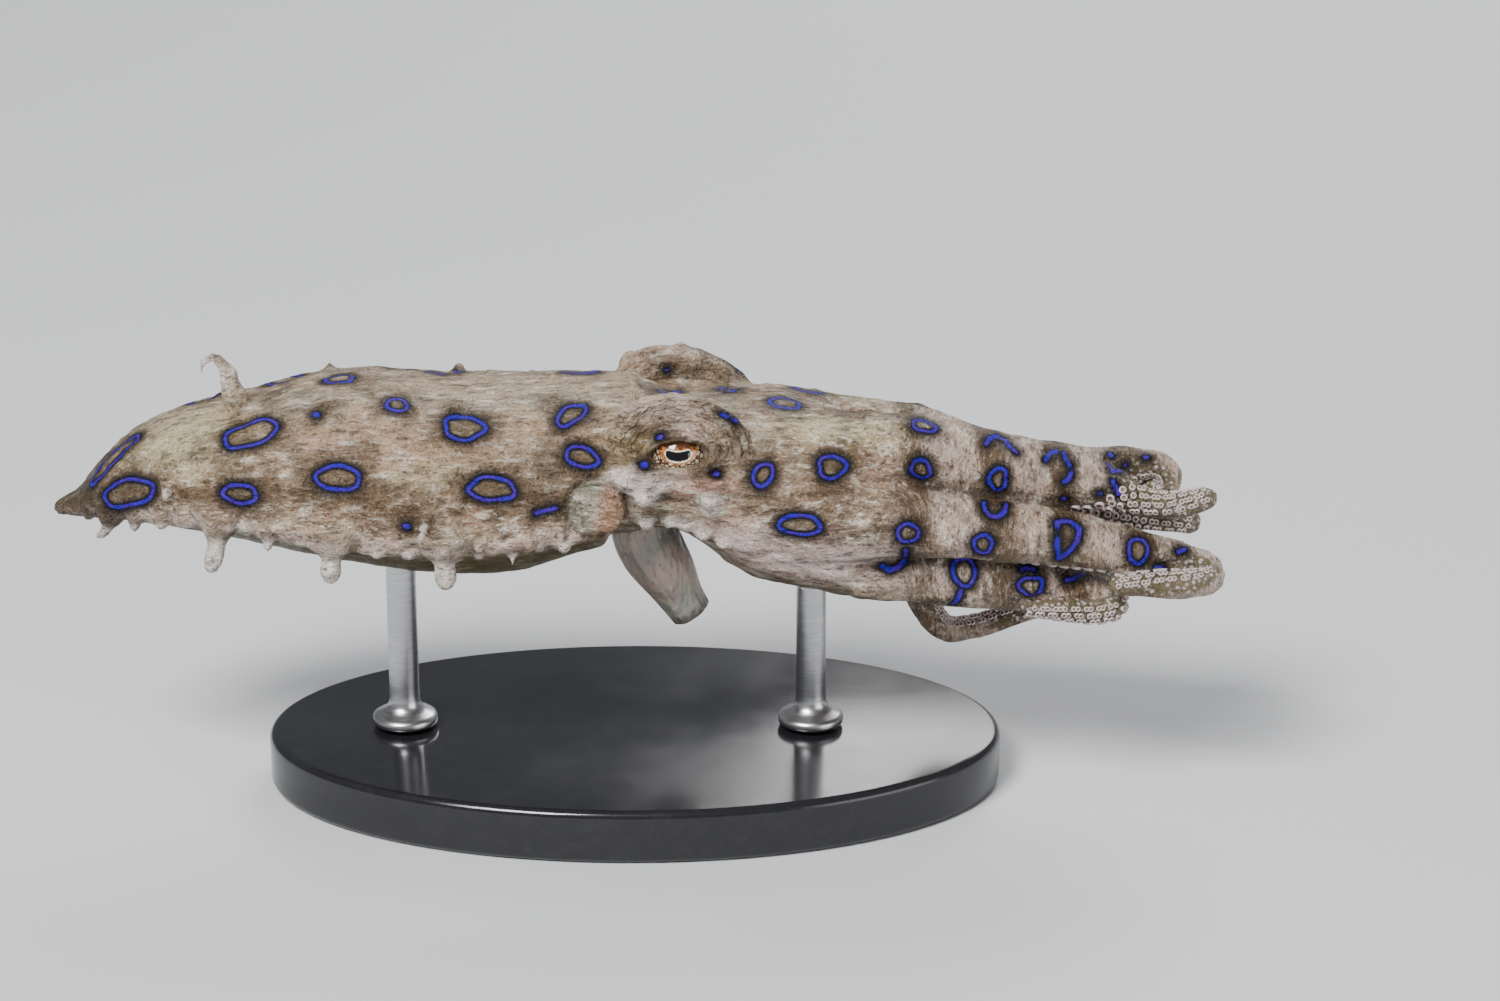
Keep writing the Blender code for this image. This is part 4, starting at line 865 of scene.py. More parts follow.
# Washes where the camera sees them: place in the picture, half width and height, colour, strength.
# The olive wash and the dark one beneath the cheek flaps are painted shade. The web pink is the web's own
# pale colour, painted extra bright as light on its lower side, which looks down.
WASHES = (
    (180, 440, 80, 42, CREAM, 0.95), (300, 400, 60, 25, GREY, 0.7), (345, 450, 50, 20, PINK, 0.35),
    (420, 445, 70, 30, TAN, 0.5), (500, 400, 110, 28, GREY, 0.7), (430, 475, 60, 14, CREAM, 0.4),
    (85, 508, 46, 12, DARK_AND_PAINTED_SHADE, 0.9), (129, 493, 48, 24, DARK_AND_PAINTED_SHADE, 0.85), (185, 497, 50, 13, BROWN, 0.9),
    (255, 492, 50, 14, BROWN, 0.75), (330, 496, 60, 14, BROWN, 0.75), (410, 512, 60, 14, BROWN, 0.7),
    (525, 495, 70, 16, BROWN, 0.55), (580, 470, 60, 20, BROWN, 0.3), (660, 408, 44, 12, GREY, 0.9),
    (649, 442, 16, 14, YELLOW, 0.9), (620, 440, 34, 24, YELLOW, 0.35), (682, 430, 24, 9, PINK_WHITE, 0.7),
    (665, 410, 54, 18, PINK_WHITE, 0.55), (653, 462, 13, 7, DARK_AND_PAINTED_SHADE, 0.85), (709, 468, 12, 7, DARK_AND_PAINTED_SHADE, 0.85),
    (646, 486, 38, 13, WHITE, 1.0), (705, 486, 36, 13, PINK, 0.75), (665, 516, 34, 10, OLIVE_PAINTED_SHADE, 0.9),
    (650, 530, 34, 12, DARK_AND_PAINTED_SHADE, 0.7), (720, 518, 34, 10, PINK, 0.4), (640, 355, 60, 14, PINK, 0.3),
    (700, 372, 60, 12, BROWN, 0.4), (850, 432, 100, 20, CREAM, 0.7), (790, 500, 70, 13, BROWN, 0.5),
    (880, 500, 60, 10, BROWN, 0.3), (855, 480, 80, 22, PINK, 0.35), (850, 562, 125, 30, WEB_PINK_AND_PAINTED_LIGHT, 1.0),
    (750, 543, 55, 22, WEB_PINK_AND_PAINTED_LIGHT, 0.8), (930, 520, 40, 12, PINK, 0.4),
)
# Brown bands across the arms: where along x they lie, and how wide they are.
ARM_BANDS = ((20.4, 1.0), (26.0, 1.15), (31.0, 1.1), (36.2, 1.2))


def wash(colour, weight):
    """Moves the paint towards the colour by the weight."""
    weight = np.clip(weight, 0, 1)[:, None]
    paint[:] = paint * (1 - weight) + np.array(colour) * weight


def keep_field(piece, name, values):
    """Keeps values on the piece as an attribute: a number, a direction or a colour a vertex."""
    kinds = {1: ("FLOAT", "value"), 3: ("FLOAT_VECTOR", "vector"), 4: ("FLOAT_COLOR", "color")}
    kind, key = kinds[values.size // len(values)]
    field = piece.data.attributes.new(name, kind, "POINT")
    field.data.foreach_set(key, values.ravel().astype(np.float32))


mottle = grain(5.0, 31) + 0.7 * grain(2.4, 32)
fleck = grain(1.1, 33, 2.2)
# How much each face looks down: the brown round the rings is thinner there, and the painted glints fade
# there.
down = smooth(-normals[:, 2], -0.1, 0.55)
paint = np.tile(np.array(TAN), (len(points), 1))
wash(GREY, 0.35 + 0.3 * mottle)
wash(BROWN, 0.55 * smooth(grain(3.4, 34, 2.5), 0.25, 0.9))
for px, py, wide, high, colour, strength in WASHES:
    middle = seen_at(np.array([[px, py]], dtype=float))[0]
    for hand in (1, -1):
        offset = points - middle * (1, hand, 1)
        across = offset[:, 0] / (wide * PIXEL)
        up = np.hypot(offset[:, 1], offset[:, 2]) / (high * PIXEL)
        wash(colour, strength * np.exp(-(across**2 + up**2)) * (1 + 0.3 * fleck))
ring_gap = np.minimum(np.abs(ring), np.maximum(stroke, 0))
wash(BROWN, smooth(2.6 + 0.9 * mottle - ring_gap, 0.0, 2.2) * 0.7 * (1 - 0.5 * down))

warp = skin_x + 0.35 * mottle + 0.12 * (skin_z + 2)
band = np.max([hump(warp - x, wide, 4) for x, wide in ARM_BANDS], axis=0)
arms = smooth(skin_x, 17.5, 20.5)
wash(PINK_WHITE, arms * (1 - band) * (0.45 + 0.2 * fleck))
wash(BROWN, arms * band * (0.6 + 0.15 * fleck))
# Dark painted shade in the grooves between the arms.
wash(DARK_AND_PAINTED_SHADE, groove * 0.85)
# Olive painted shade under the arms, on the belly, partly its own colour, and under the head and crown, where
# the faces look down.
wash(OLIVE_PAINTED_SHADE, arms * smooth(-normals[:, 2], 0.2, 0.8) * 0.5)
belly = smooth(-over_ridge, 0.35, 0.9) * on_mantle
wash(OLIVE_PAINTED_SHADE, belly * 0.95)
wash(OLIVE_PAINTED_SHADE, (1 - on_mantle) * (1 - arms) * smooth(-normals[:, 2], 0.6, 0.9) * 0.85)
wash(PINK_WHITE, near_fringe * (0.6 + 0.45 * fleck))
tail = smooth(-skin_x - 0.9 * over_ridge + 0.5 * mottle, 33.5, 38.0)
wash(TAIL_BROWN, tail * (0.85 + 0.1 * fleck))
for hand in HANDS:
    for (middle, size), colour in zip(CHEEK_FOLDS, (WHITE, PINK)):
        offset = (points - mirrored(middle, hand)) / size
        away = np.linalg.norm(offset, axis=1)
        # Dark painted shade under each cheek fold, then the fold's own colour over it.
        wash(DARK_AND_PAINTED_SHADE, hump(away - 1.45, 0.22) * smooth(-offset[:, 2], 0.2, 0.8) * 0.6)
        wash(colour, (1 - smooth(away, 1.0, 1.3)) * (0.8 + 0.2 * fleck))
    offset = points - mirrored(LOBE[0], hand)
    away = np.hypot(offset[:, 0], offset[:, 2])
    outer = offset[:, 1] * hand > -0.6
    out = outer * (1 - smooth(away, 2.0, 2.2))
    front = smooth(offset[:, 0] - 0.3 * offset[:, 2], -0.5, 0.6)
    wash(LOBE_GREEN, out * (1 - front) * (0.8 + 0.2 * np.sin(away * math.tau / LOBE_RIPPLE)))
    wash(LOBE_PINK, out * front * (0.75 + 0.15 * fleck))
    # A dark line of painted shade in the groove round the lobe.
    wash(DARK_AND_PAINTED_SHADE, hump(away - 2.14, 0.17) * outer * 0.75)
pale = np.zeros(len(points))
for root, tip, half in pale_lines:
    run = tip - root
    share = np.clip((points - root) @ run / (run @ run), 0, 1)
    aside = np.linalg.norm(points - root - share[:, None] * run, axis=1)
    pale = np.maximum(pale, (1 - smooth(aside, half * 1.1, half * 2.0)) * smooth(share, 0.05, 0.5))
wash(WHITE, pale * (0.9 - 0.4 * tail))

# Wrinkles run lengthwise on the body and across the arms, so their pattern reads these places.
stretch_x = 0.35 * skin_x + 0.95 * 1.5 * np.logaddexp(0, (skin_x - 19.0) / 1.5)
low_side = (1 - smooth(over_ridge, 1.5, 4.0)) * on_mantle + smooth(skin_x, 8, 12)
arm_share = arm_run / np.maximum(arm_long, 1e-9)
# The glint field is where the painted glints on the streaks are strongest: low on the mantle's sides and
# forward of the head, on faces that do not look down, and never on the belly or tail.
FIELDS = {
    "weave": np.column_stack([stretch_x, points[:, 1:] * (1 - 0.5 * on_arm)[:, None]]) * MM,
    "ring": ring,
    "stroke": stroke,
    "round_eye": round_eye,
    "on_mound": on_mound,
    "glint": np.clip(low_side * (1 - down) + 0.35, 0, 1) * (1 - belly) * (1 - tail),
    "granular": on_arm * smooth(arm_share, 0.52, 0.66) * smooth(arm_oral, -0.75, -0.2),
    "paint": np.column_stack([np.clip(paint, 0, 1), np.ones(len(points))]),
}
for name, values in FIELDS.items():
    keep_field(skin, name, values)


class Finish:
    """A material in the making: its nodes are added and joined by these short ways."""

    def __init__(self, name):
        self.material = bpy.data.materials.new(name)
        self.material.use_nodes = True
        self.tree = self.material.node_tree

    def join(self, node, inputs):
        """Joins each of the node's inputs to another node's output, or sets it to a value."""
        for key, value in inputs.items():
            if isinstance(value, bpy.types.NodeSocket):
                self.tree.links.new(value, node.inputs[key])
            else:
                node.inputs[key].default_value = value

    def shade(self, inputs):
        """Joins or sets inputs of the shader."""
        self.join(self.tree.nodes["Principled BSDF"], inputs)

    def node(self, kind, inputs, output, **settings):
        """An output of a new node with the given settings and inputs."""
        made = self.tree.nodes.new("ShaderNode" + kind)
        for key, value in settings.items():
            setattr(made, key, value)
        self.join(made, inputs)
        return made.outputs[output]

    def field(self, name, output="Fac"):
        """One of the piece's own attributes."""
        return self.node("Attribute", {}, output, attribute_name=name)

    def here(self):
        """The place on the piece."""
        return self.node("TexCoord", {}, "Object")

    def maths(self, operation, *values):
        """The operation's result over outputs or numbers."""
        return self.node("Math", dict(enumerate(values)), 0, operation=operation)

    def times(self, first, second):
        """The product of two outputs or numbers."""
        return self.maths("MULTIPLY", first, second)

    def mapped(self, value, low, high, start=0.0, end=1.0, interpolation="SMOOTHSTEP"):
        """The value carried from low..high to start..end, held at both ends."""
        inputs = {"Value": value, "From Min": low, "From Max": high, "To Min": start, "To Max": end}
        return self.node("MapRange", inputs, "Result", interpolation_type=interpolation)

    def mixed(self, share, first, second):
        """The first colour moved towards the second by a share."""
        return self.node("Mix", {0: share, 6: first, 7: second}, 2, data_type="RGBA")

    def coat(self, under, over, value, low, high, most=1.0, by=None):
        """A colour under a coat of another, which grows to most as the value goes from low to
        high, and is also as strong as by."""
        share = self.mapped(value, low, high, 0.0, most)
        return self.mixed(self.times(share, by) if by else share, under, over)

    def noise(self, scale, detail, rough, stretch=(1, 1, 1), along=None):
        """A noise value in cycles over a metre, on the piece's own coordinates or its attribute."""
        source = self.field(along, "Vector") if along else self.here()
        place = self.node("Mapping", {"Vector": source, "Scale": stretch}, "Vector")
        inputs = {"Vector": place, "Scale": scale, "Detail": detail, "Roughness": rough}
        return self.node("TexNoise", inputs, "Fac")

    def bumped(self, *layers):
        """Bumps one over the other: for each its height, how many metres it stands, its strength."""
        normal = {}
        for height, distance, strength in layers:
            inputs = {"Height": height, "Distance": distance, "Strength": strength, **normal}
            normal = {"Normal": self.node("Bump", inputs, "Normal")}
        return normal["Normal"]


RING_BLUE = (0.020, 0.0, 0.40, 1)
RING_VIOLET = (0.052, 0.0, 0.40, 1)
RING_EDGE = (0.003, 0.002, 0.010, 1)
HALO = (0.022, 0.014, 0.007, 1)
INSIDE_TAN = (0.20, 0.14, 0.075, 1)
# Pale granules with painted glints on the crests, and dark granules with painted shade in the creases.
PALE_GRANULE_AND_GLINT = (0.80, 0.72, 0.60, 1)
DARK_GRANULE_AND_CREASE_SHADE = (0.055, 0.036, 0.02, 1)
BEAD_WHITE = (0.68, 0.60, 0.58, 1)
BETWEEN_BEADS = (0.13, 0.10, 0.045, 1)
# Beads over a metre, and fine furrows round the eye mounds for each millimetre.
BEADS = 2500
FURROWS = 2.6

body = Finish("octopus_skin")
ring_at = body.field("ring")
colour = body.field("paint", "Color")
wrinkle = body.noise(1500, 4.0, 0.6, along="weave")
streak = body.noise(3400, 3.0, 0.6, along="weave")
fine = body.noise(4200, 3.0, 0.6)
grit = body.noise(9000, 2.0, 0.5)
mid = body.noise(900, 3.0, 0.55)
# The wrinkles, streaks and fine grain are painted paler on their crests, as glints, and darker in
# their troughs, as painted shade. The pale granules and glints are weaker where the paint is dark.
lit = body.mapped(body.node("RGBToBW", {"Color": colour}, "Val"), 0.02, 0.28, 0.10, 1.0)
colour = body.coat(colour, INSIDE_TAN, ring_at, 0.0, -0.35, 0.5)
colour = body.coat(colour, DARK_GRANULE_AND_CREASE_SHADE, mid, 0.52, 0.72, 0.35)
colour = body.coat(colour, DARK_GRANULE_AND_CREASE_SHADE, wrinkle, 0.48, 0.30, 0.72)
colour = body.coat(colour, PALE_GRANULE_AND_GLINT, wrinkle, 0.52, 0.70, 0.75, lit)
colour = body.coat(colour, DARK_GRANULE_AND_CREASE_SHADE, streak, 0.46, 0.28, 0.70)
colour = body.coat(colour, PALE_GRANULE_AND_GLINT, streak, 0.52, 0.70, 0.85, body.times(body.field("glint"), lit))
circle_at = body.maths("ADD", body.field("round_eye"), body.times(mid, 1.1))
furrow = body.maths("SINE", body.times(circle_at, FURROWS * math.tau))
furrow = body.times(body.mapped(furrow, -1.0, 1.0, interpolation="LINEAR"), body.field("on_mound"))
# The furrows round the eye mounds are painted darker: painted shade in them.
colour = body.mixed(body.times(furrow, 0.28), colour, DARK_GRANULE_AND_CREASE_SHADE)
colour = body.coat(colour, PALE_GRANULE_AND_GLINT, fine, 0.58, 0.74, 0.55, lit)
colour = body.coat(colour, DARK_GRANULE_AND_CREASE_SHADE, fine, 0.43, 0.28, 0.50)
bead = body.mapped(body.node("TexVoronoi", {"Scale": BEADS, "Vector": body.here()}, "Distance"), 0.55, 0.20)
granular = body.field("granular")
colour = body.mixed(body.times(granular, 0.85), colour, body.mixed(bead, BETWEEN_BEADS, BEAD_WHITE))
# The rings' lines waver a little, and their halo frays.
line_gap = body.maths("SUBTRACT", body.maths("ABSOLUTE", ring_at), LINE_HALF)
line_gap = body.maths("MINIMUM", line_gap, body.field("stroke"))
line_gap = body.maths("ADD", line_gap, body.times(body.maths("SUBTRACT", mid, 0.5), 0.16))
halo_gap = body.maths("ADD", line_gap, body.times(body.maths("SUBTRACT", fine, 0.5), 0.5))
colour = body.coat(colour, HALO, halo_gap, 0.85, 0.10, 0.9, body.mapped(ring_at, -0.5, -0.15, 0.35, 1.0))
colour = body.coat(colour, RING_EDGE, line_gap, 0.24, 0.06)
blue = body.coat(RING_BLUE, RING_VIOLET, mid, 0.4, 0.6)
core = body.mapped(line_gap, 0.02, -0.07)
wet = body.mapped(fine, 0.35, 0.7, 0.46, 0.26)
body.shade({
    "Base Color": body.mixed(core, colour, blue),
    "Roughness": body.maths("ADD", wet, body.mapped(line_gap, 0.10, 0.0, 0.0, 0.2)),
    "Normal": body.bumped(
        (wrinkle, 0.0009, 1.0), (streak, 0.0005, 1.0), (fine, 0.0003, 1.0), (grit, 0.00005, 0.7),
        (furrow, -0.00022, 1.0), (body.times(bead, granular), 0.00018, 1.0),
    ),
    # The blue lines glow faintly: painted light on the rings.
    "Emission Color": body.mixed(core, (0, 0, 0, 1), blue),
    "Emission Strength": 0.08,
    "Subsurface Weight": 0.15,
    "Subsurface Radius": (1.0, 0.5, 0.35),
    "Subsurface Scale": 0.0006,
    "IOR": 1.38,
})
skin.data.materials.append(body.material)


# The eyeballs sit in their sockets: a wet ball with an orange iris, a black horseshoe pupil in a
# cream line, and cream corners under a dark net.
PUPIL_LONG = 0.90
PUPIL_LOW = -0.22
PUPIL_BEND = 0.24
PUPIL_THICK = 0.32
IRIS_LONG = 1.42
IRIS_HIGH = 1.08
IRIS_UP = 0.27
OUTSIDE = 2.0
PUPIL_BLACK = (0.004, 0.003, 0.004, 1)
PUPIL_LINE = (0.80, 0.74, 0.60, 1)
IRIS_ORANGE = (0.46, 0.155, 0.035, 1)
IRIS_BROWN = (0.060, 0.022, 0.010, 1)
EYE_CREAM = (0.62, 0.50, 0.34, 1)
NET_MESHES = 3200


def eyeball(name, hand, material):
    """A ball with its pole at the pupil. The attributes hold how far each point is outside the
    pupil, which is a bar bent up at its ends, and outside the iris, and how high it is."""
    middle, look, along, up = eye_axes(hand)
    turn = full_turn(96)[:, None]
    tip = np.linspace(0, math.pi, 66)[1:-1, None, None]
    ball = np.cos(tip) * look + np.sin(tip) * (np.cos(turn) * along + np.sin(turn) * up)
    vertices, faces = closed_skin(ball * EYE_RADIUS, look * EYE_RADIUS, -look * EYE_RADIUS)
    if hand < 0:
        faces = [face[::-1] for face in faces]
    made = make_piece(name, vertices + middle, faces, material)
    a, b, c = vertices @ along, vertices @ up, vertices @ look
    bend = PUPIL_LOW + PUPIL_BEND * (a / PUPIL_LONG) ** 2
    thick = PUPIL_THICK * np.sqrt(np.clip(1 - (np.abs(a) / PUPIL_LONG) ** 9, 0, 1))
    past = np.maximum(np.abs(a) - PUPIL_LONG * 0.97, 0)
    keep_field(made, "pupil", np.where(c > 0, np.maximum(np.abs(b - bend) - thick, past), OUTSIDE))
    keep_field(made, "iris", np.where(c > 0, np.hypot(a / IRIS_LONG, (b - IRIS_UP) / IRIS_HIGH) - 1, OUTSIDE))
    keep_field(made, "high", b)
    return made


gloss = Finish("octopus_eye")
speckle = gloss.noise(4600, 2.0, 0.6)
net_inputs = {"Scale": NET_MESHES, "Vector": gloss.here()}
net = gloss.node("TexVoronoi", net_inputs, "Distance", feature="DISTANCE_TO_EDGE")
more = gloss.mapped(gloss.field("high"), 0.0, 0.8, 0.0, 0.26)
iris = gloss.coat(IRIS_ORANGE, IRIS_BROWN, gloss.maths("ADD", speckle, more), 0.54, 0.64, 0.95)
cornea = gloss.coat(EYE_CREAM, IRIS_BROWN, net, 0.22, 0.08)
colour = gloss.coat(cornea, iris, gloss.field("iris"), 0.05, -0.15)
pupil_at = gloss.field("pupil")
colour = gloss.coat(colour, PUPIL_LINE, pupil_at, 0.13, 0.09)
gloss.shade({
    "Base Color": gloss.coat(colour, PUPIL_BLACK, pupil_at, 0.04, 0.0),
    "Roughness": 0.12,
    "Coat Weight": 0.6,
    "Coat Roughness": 0.05,
    "Normal": gloss.bumped((speckle, 0.00002, 0.4)),
})

for name, hand in (("eye_right", -1), ("eye_left", 1)):
    eye = eyeball(name + "_ball", hand, gloss.material)
    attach(eye, "root")
    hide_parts(name)


# Suckers stand close together in staggered rows along each arm, smaller towards the tip: soft
# round cups with a thick rim, set into the arm.
SUCKER_SHARE = 0.27
SUCKER_LEAST = 0.20
SUCKER_MOST_SHARE = 0.26
SUCKER_SPACING = 2.2
SUCKER_ROWS = tuple(math.radians(turn) for turn in (-50, 14, -18, 46))
SUCKER_SIDES = 9
# A cup's profile: radius and height as shares of its size, from the sunk foot to the cup's floor.
SUCKER_PROFILE = ((0.8, -0.9), (0.98, 0.1), (1.0, 0.5), (0.72, 0.66), (0.40, 0.30), (0.0, 0.24))
SUCKER_RIM = (0.58, 0.50, 0.48, 1)
SUCKER_FLOOR_SHADE = (0.17, 0.115, 0.08, 1)
SUCKER_SPECK = (0.24, 0.17, 0.12, 1)


def sucker_seats(places, halves, way, oral, run):
    """Middles, out directions, along directions and sizes of an arm's suckers. The step to the
    next one is its size times the spacing over the rows, and they change rows by turns."""
    seats = []
    distance = 0.4
    while distance < run[-1] - 0.1:
        i = int(np.searchsorted(run, distance))
        half = halves[i] - ARM_SLIMMER
        size = min(max(SUCKER_SHARE * (half - 0.4), SUCKER_LEAST), SUCKER_MOST_SHARE * half)
        turn = SUCKER_ROWS[len(seats) % len(SUCKER_ROWS)]
        out = unit(oral[i] * math.cos(turn) + np.cross(way[i], oral[i]) * math.sin(turn))
        seats.append(np.concatenate([places[i] + out * (half * 0.93), out, way[i], [size]]))
        distance += size * SUCKER_SPACING / len(SUCKER_ROWS)
    return np.array(seats)


def sucker_cups(seats):
    """Every cup at once: the profile turned about the out direction at each seat, closed by a flat
    foot and by a point at the cup's floor. The share of the radius comes back for the colour."""
    middle, out, along, size = seats[:, :3], seats[:, 3:6], seats[:, 6:9], seats[:, 9:]
    turn = full_turn(SUCKER_SIDES)[:, None]
    circle = np.cos(turn) * along[:, None] + np.sin(turn) * np.cross(out, along)[:, None]
    radius, height = np.array(SUCKER_PROFILE)[:-1].T
    levels = middle[:, None] + out[:, None] * height[:, None] * size[:, None]
    rings = levels[:, :, None] + circle[:, None] * radius[:, None, None] * size[:, None, None]
    poles = middle + out * size * SUCKER_PROFILE[-1][1]
    index = np.arange(rings.size // 3).reshape(rings.shape[:3])
    faces, after = ring_faces(index)
    pole = np.broadcast_to((index.size + np.arange(len(seats)))[:, None], index[:, -1].shape)
    faces += np.stack([index[:, -1], after[:, -1], pole], axis=-1).reshape(-1, 3).tolist()
    faces += index[:, 0, ::-1].tolist()
    share = np.concatenate([np.broadcast_to(radius[:, None], rings.shape[:3]).ravel(), np.zeros(len(seats))])
    return np.vstack([rings.reshape(-1, 3), poles]), faces, share


cup = Finish("sucker_skin")
speckle = cup.noise(5000, 2.0, 0.6)
# The cup darkens towards its floor: painted shade in the hollow.
colour = cup.coat(SUCKER_FLOOR_SHADE, SUCKER_RIM, cup.field("cup"), 0.45, 0.85)
cup.shade({
    "Base Color": cup.coat(colour, SUCKER_SPECK, speckle, 0.52, 0.7, 0.5),
    "Roughness": cup.mapped(speckle, 0.3, 0.7, 0.3, 0.45),
    "Normal": cup.bumped((speckle, 0.00004, 0.5)),
    "Subsurface Weight": 0.2,
    "Subsurface Radius": (1.0, 0.5, 0.4),
    "Subsurface Scale": 0.0005,
})

vertices, faces, share = sucker_cups(np.vstack([sucker_seats(*line) for line in arm_lines.values()]))
suckers = make_piece("suckers", vertices, faces, cup.material)
keep_field(suckers, "cup", share)
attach(suckers, "root")


# The funnel is a soft grey tube under the head, open at its end, through which the animal blows
# water. Its thin wall turns over at the lip and goes back inside to a closed throat.
FUNNEL_WALL = 0.45
FUNNEL_DEPTH = 3.2
FUNNEL_STEPS = 60
FUNNEL_SIDES = 72
LIP_STEPS = 5
THROAT_STEPS = 20
# The middle line: x, z, half width.
FUNNEL = (
    (0.5, -2.9, 2.6), (0.6, -4.6, 2.6), (1.3, -6.2, 2.6), (2.3, -7.9, 2.3), (3.2, -9.6, 1.85),
    (4.0, -10.9, 1.65),
)
FUNNEL_GREY = (0.25, 0.24, 0.205, 1)
FUNNEL_PINK = (0.38, 0.29, 0.24, 1)
FUNNEL_BROWN_AND_SHADE = (0.085, 0.065, 0.055, 1)


def funnel_skin():
    """A tube carried along the funnel's line, over its lip and back inside to a closed throat."""
    line = through_rows(FUNNEL, FUNNEL_STEPS)
    path = np.column_stack([line[:, 0], np.zeros(FUNNEL_STEPS), line[:, 1]])
    way = unit(path[-1] - path[-2])
    lip = np.linspace(0, math.pi, LIP_STEPS + 2)[1:-1]
    wall = FUNNEL_WALL / 2
    rim = path[-1] + way * (np.sin(lip) * wall)[:, None]
    rim_half = line[-1, 2] - wall + np.cos(lip) * wall
    inner = path[-1] - way * np.linspace(0, FUNNEL_DEPTH, THROAT_STEPS)[:, None]
    inner_half = (line[-1, 2] - FUNNEL_WALL) * np.sqrt(1 - np.linspace(0, 0.95, THROAT_STEPS) ** 2)
    spine = np.vstack([path, rim, inner])
    halves = np.concatenate([line[:, 2], rim_half, inner_half])
    straight = np.repeat(way[None], LIP_STEPS + THROAT_STEPS, axis=0)
    along = np.vstack([unit(np.gradient(path, axis=0)), straight])
    turn = full_turn(FUNNEL_SIDES)[:, None]
    crease = 1 + 0.02 * np.cos(turn * 7 + 1) + 0.012 * np.cos(turn * 16)
    circle = 1.1 * np.cos(turn) * SIDEWAYS + 0.9 * np.sin(turn) * np.cross(along, SIDEWAYS)[:, None]
    return closed_skin(spine[:, None] + circle * crease * halves[:, None, None], path[0], inner[-1])


tube = Finish("funnel_skin")
speckle = tube.noise(4200, 3.0, 0.6, (1, 1, 0.5))
colour = tube.coat(FUNNEL_GREY, FUNNEL_PINK, tube.noise(330, 3.0, 0.55), 0.42, 0.62)
colour = tube.coat(colour, FUNNEL_BROWN_AND_SHADE, speckle, 0.55, 0.7, 0.6)
tube.shade({
    # The tube darkens towards its open end and inside it: painted shade in the opening, over the brown of its
    # own speckles.
    "Base Color": tube.coat(colour, FUNNEL_BROWN_AND_SHADE, tube.field("length"), 0.90, 0.99, 0.8),
    "Roughness": tube.mapped(speckle, 0.3, 0.7, 0.28, 0.42),
    "Normal": tube.bumped((tube.noise(1300, 2.0, 0.5, (1, 1, 0.35)), 0.0006, 1.0), (speckle, 0.00012, 0.8)),
    "Subsurface Weight": 0.35,
    "Subsurface Radius": (1.0, 0.7, 0.6),
    "Subsurface Scale": 0.001,
})

vertices, faces = funnel_skin()
funnel = make_piece("funnel_tube", vertices, faces, tube.material)
outside = np.repeat(np.linspace(0, 1, FUNNEL_STEPS), FUNNEL_SIDES)
keep_field(funnel, "length", np.concatenate([outside, np.ones(len(vertices) - len(outside))]))
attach(funnel, "root")
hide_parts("funnel")


# The stand is a polished black oval plate, from which two brushed steel rods with turned feet
# carry the body.
PLATE_HALF_LENGTH = 27.0
PLATE_HALF_WIDTH = 16.0
PLATE_THICK = 4.0
PLATE_EDGE = 0.6
# A rod's profile from its foot: radius and height over the plate. Above it the shaft is plain.
ROD_PROFILE = (
    (2.2, 0.0), (2.38, 0.05), (2.4, 0.2), (2.4, 0.45), (2.33, 0.6), (2.1, 0.75),
    (1.7, 0.95), (1.4, 1.2), (1.2, 1.5), (1.12, 1.9), (1.1, 2.4),
)
ROD_RADIUS = 1.1
ROD_FOOT_HIGH = 3
ROD_LIFT = 0.3
ROD_PLACES = {"stand_rod_rear": -17.0, "stand_rod_front": 13.0}
PLATE_BLACK = (0.012, 0.012, 0.014, 1)
PLATE_HAZE = (0.018, 0.018, 0.021, 1)
STEEL = (0.56, 0.56, 0.57, 1)
STEEL_DARK = (0.46, 0.46, 0.47, 1)


def turned(profile, x, half_length, half_width, sides):
    """A profile of radii and heights turned about an upright line at x, its radii added to the
    half sizes of an oval, and closed by a point in the middle of both ends."""
    turn = full_turn(sides)
    far = x + (half_length + profile[:, :1]) * np.cos(turn)
    aside = (half_width + profile[:, :1]) * np.sin(turn)
    rings = np.stack([far, aside, np.broadcast_to(profile[:, 1:], far.shape)], axis=-1)
    return closed_skin(rings, (x, 0, profile[0, 1]), (x, 0, profile[-1, 1]))


acrylic = Finish("plate_acrylic")
dust = acrylic.noise(900, 3.0, 0.6)
acrylic.shade({
    "Base Color": acrylic.coat(PLATE_BLACK, PLATE_HAZE, dust, 0.4, 0.9),
    "Roughness": acrylic.mapped(acrylic.noise(60, 3.0, 0.6), 0.3, 0.7, 0.10, 0.22),
    "Normal": acrylic.bumped((dust, 0.00001, 0.3)),
})
bevel = np.linspace(0, math.pi / 2, 9)
inset = PLATE_EDGE * (np.sin(bevel) - 1)
rise = PLATE_EDGE * (1 - np.cos(bevel))
profile = np.vstack([np.column_stack([inset, rise]), np.column_stack([inset, PLATE_THICK - rise])[::-1]])
vertices, faces = turned(profile, 0, PLATE_HALF_LENGTH, PLATE_HALF_WIDTH, 192)
plate = make_piece("stand_plate", vertices, faces, acrylic.material, axis=0)
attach(plate, "root")
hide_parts("stand_base")

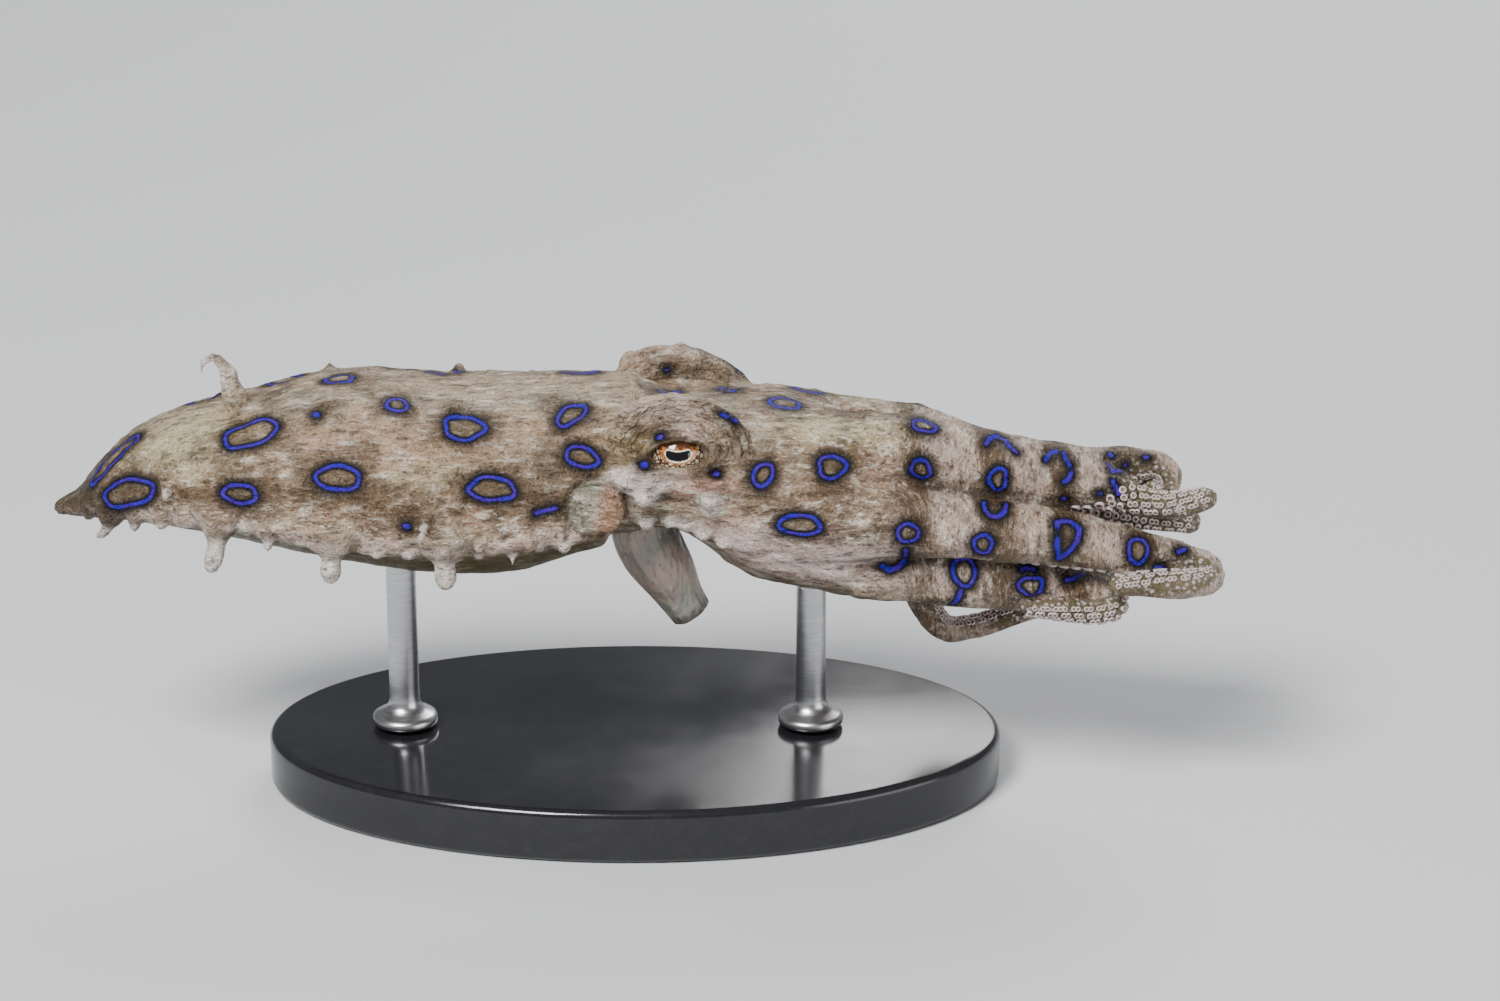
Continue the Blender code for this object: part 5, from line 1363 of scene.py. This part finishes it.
steel = Finish("rod_steel")
brushed = steel.noise(700, 2.0, 0.5, (1, 1, 14))
steel.shade({
    "Base Color": steel.coat(STEEL_DARK, STEEL, brushed, 0.35, 0.7),
    "Metallic": 1.0,
    "Roughness": steel.mapped(brushed, 0.3, 0.7, 0.29, 0.32),
    "Normal": steel.bumped((brushed, 0.000001, 0.1)),
})
for name, x in ROD_PLACES.items():
    low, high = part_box(name)
    foot = low[2] / MM
    shaft = [(ROD_RADIUS, z) for z in np.linspace(foot + ROD_FOOT_HIGH, high[2] / MM + ROD_LIFT, 12)]
    vertices, faces = turned(np.array([(radius, foot + z) for radius, z in ROD_PROFILE] + shaft), x, 0, 0, 64)
    rod = make_piece(name + "_turned", vertices, faces, steel.material, axis=0)
    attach(rod, "root")
    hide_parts(name)


# The floor is a wide flat sheet of pale paper. A key lamp at the upper left, two weaker lamps and
# a grey sky light the model.
FLOOR_HALF = 2
FLOOR_GREY = (0.62, 0.63, 0.64, 1)
# Each lamp: its place in metres, how wide it is, and its power.
LAMPS = {
    "key_lamp": ((-0.18, -0.30, 0.42), 0.18, 4.6),
    "fill_lamp": ((0.46, -0.30, 0.06), 0.40, 1.7),
    "rim_lamp": ((0.15, 0.45, 0.35), 0.30, 2.2),
}
LAMPS_AIM = Vector((0, 0, 0.02))
SKY = (0.9, 0.93, 1.0, 1)
SKY_STRENGTH = 0.24

paper = Finish("floor_paper")
paper.shade({"Base Color": FLOOR_GREY, "Roughness": 0.8})
corners = np.array([(-1, -1, 0), (1, -1, 0), (1, 1, 0), (-1, 1, 0)]) * FLOOR_HALF
floor = make_piece("floor", corners / MM, [(0, 1, 2, 3)], paper.material, axis=0)

for name, (place, size, power) in LAMPS.items():
    lamp_data = bpy.data.lights.new(name, "AREA")
    lamp_data.size = size
    lamp_data.energy = power
    lamp = bpy.data.objects.new(name, lamp_data)
    lamp.location = place
    lamp.rotation_euler = (LAMPS_AIM - Vector(place)).to_track_quat("-Z", "Y").to_euler()
    bpy.context.scene.collection.objects.link(lamp)
world = bpy.data.worlds.new("studio")
world.use_nodes = True
sky = world.node_tree.nodes["Background"]
sky.inputs["Color"].default_value = SKY
sky.inputs["Strength"].default_value = SKY_STRENGTH
bpy.context.scene.world = world


bpy.context.view_layer.update()
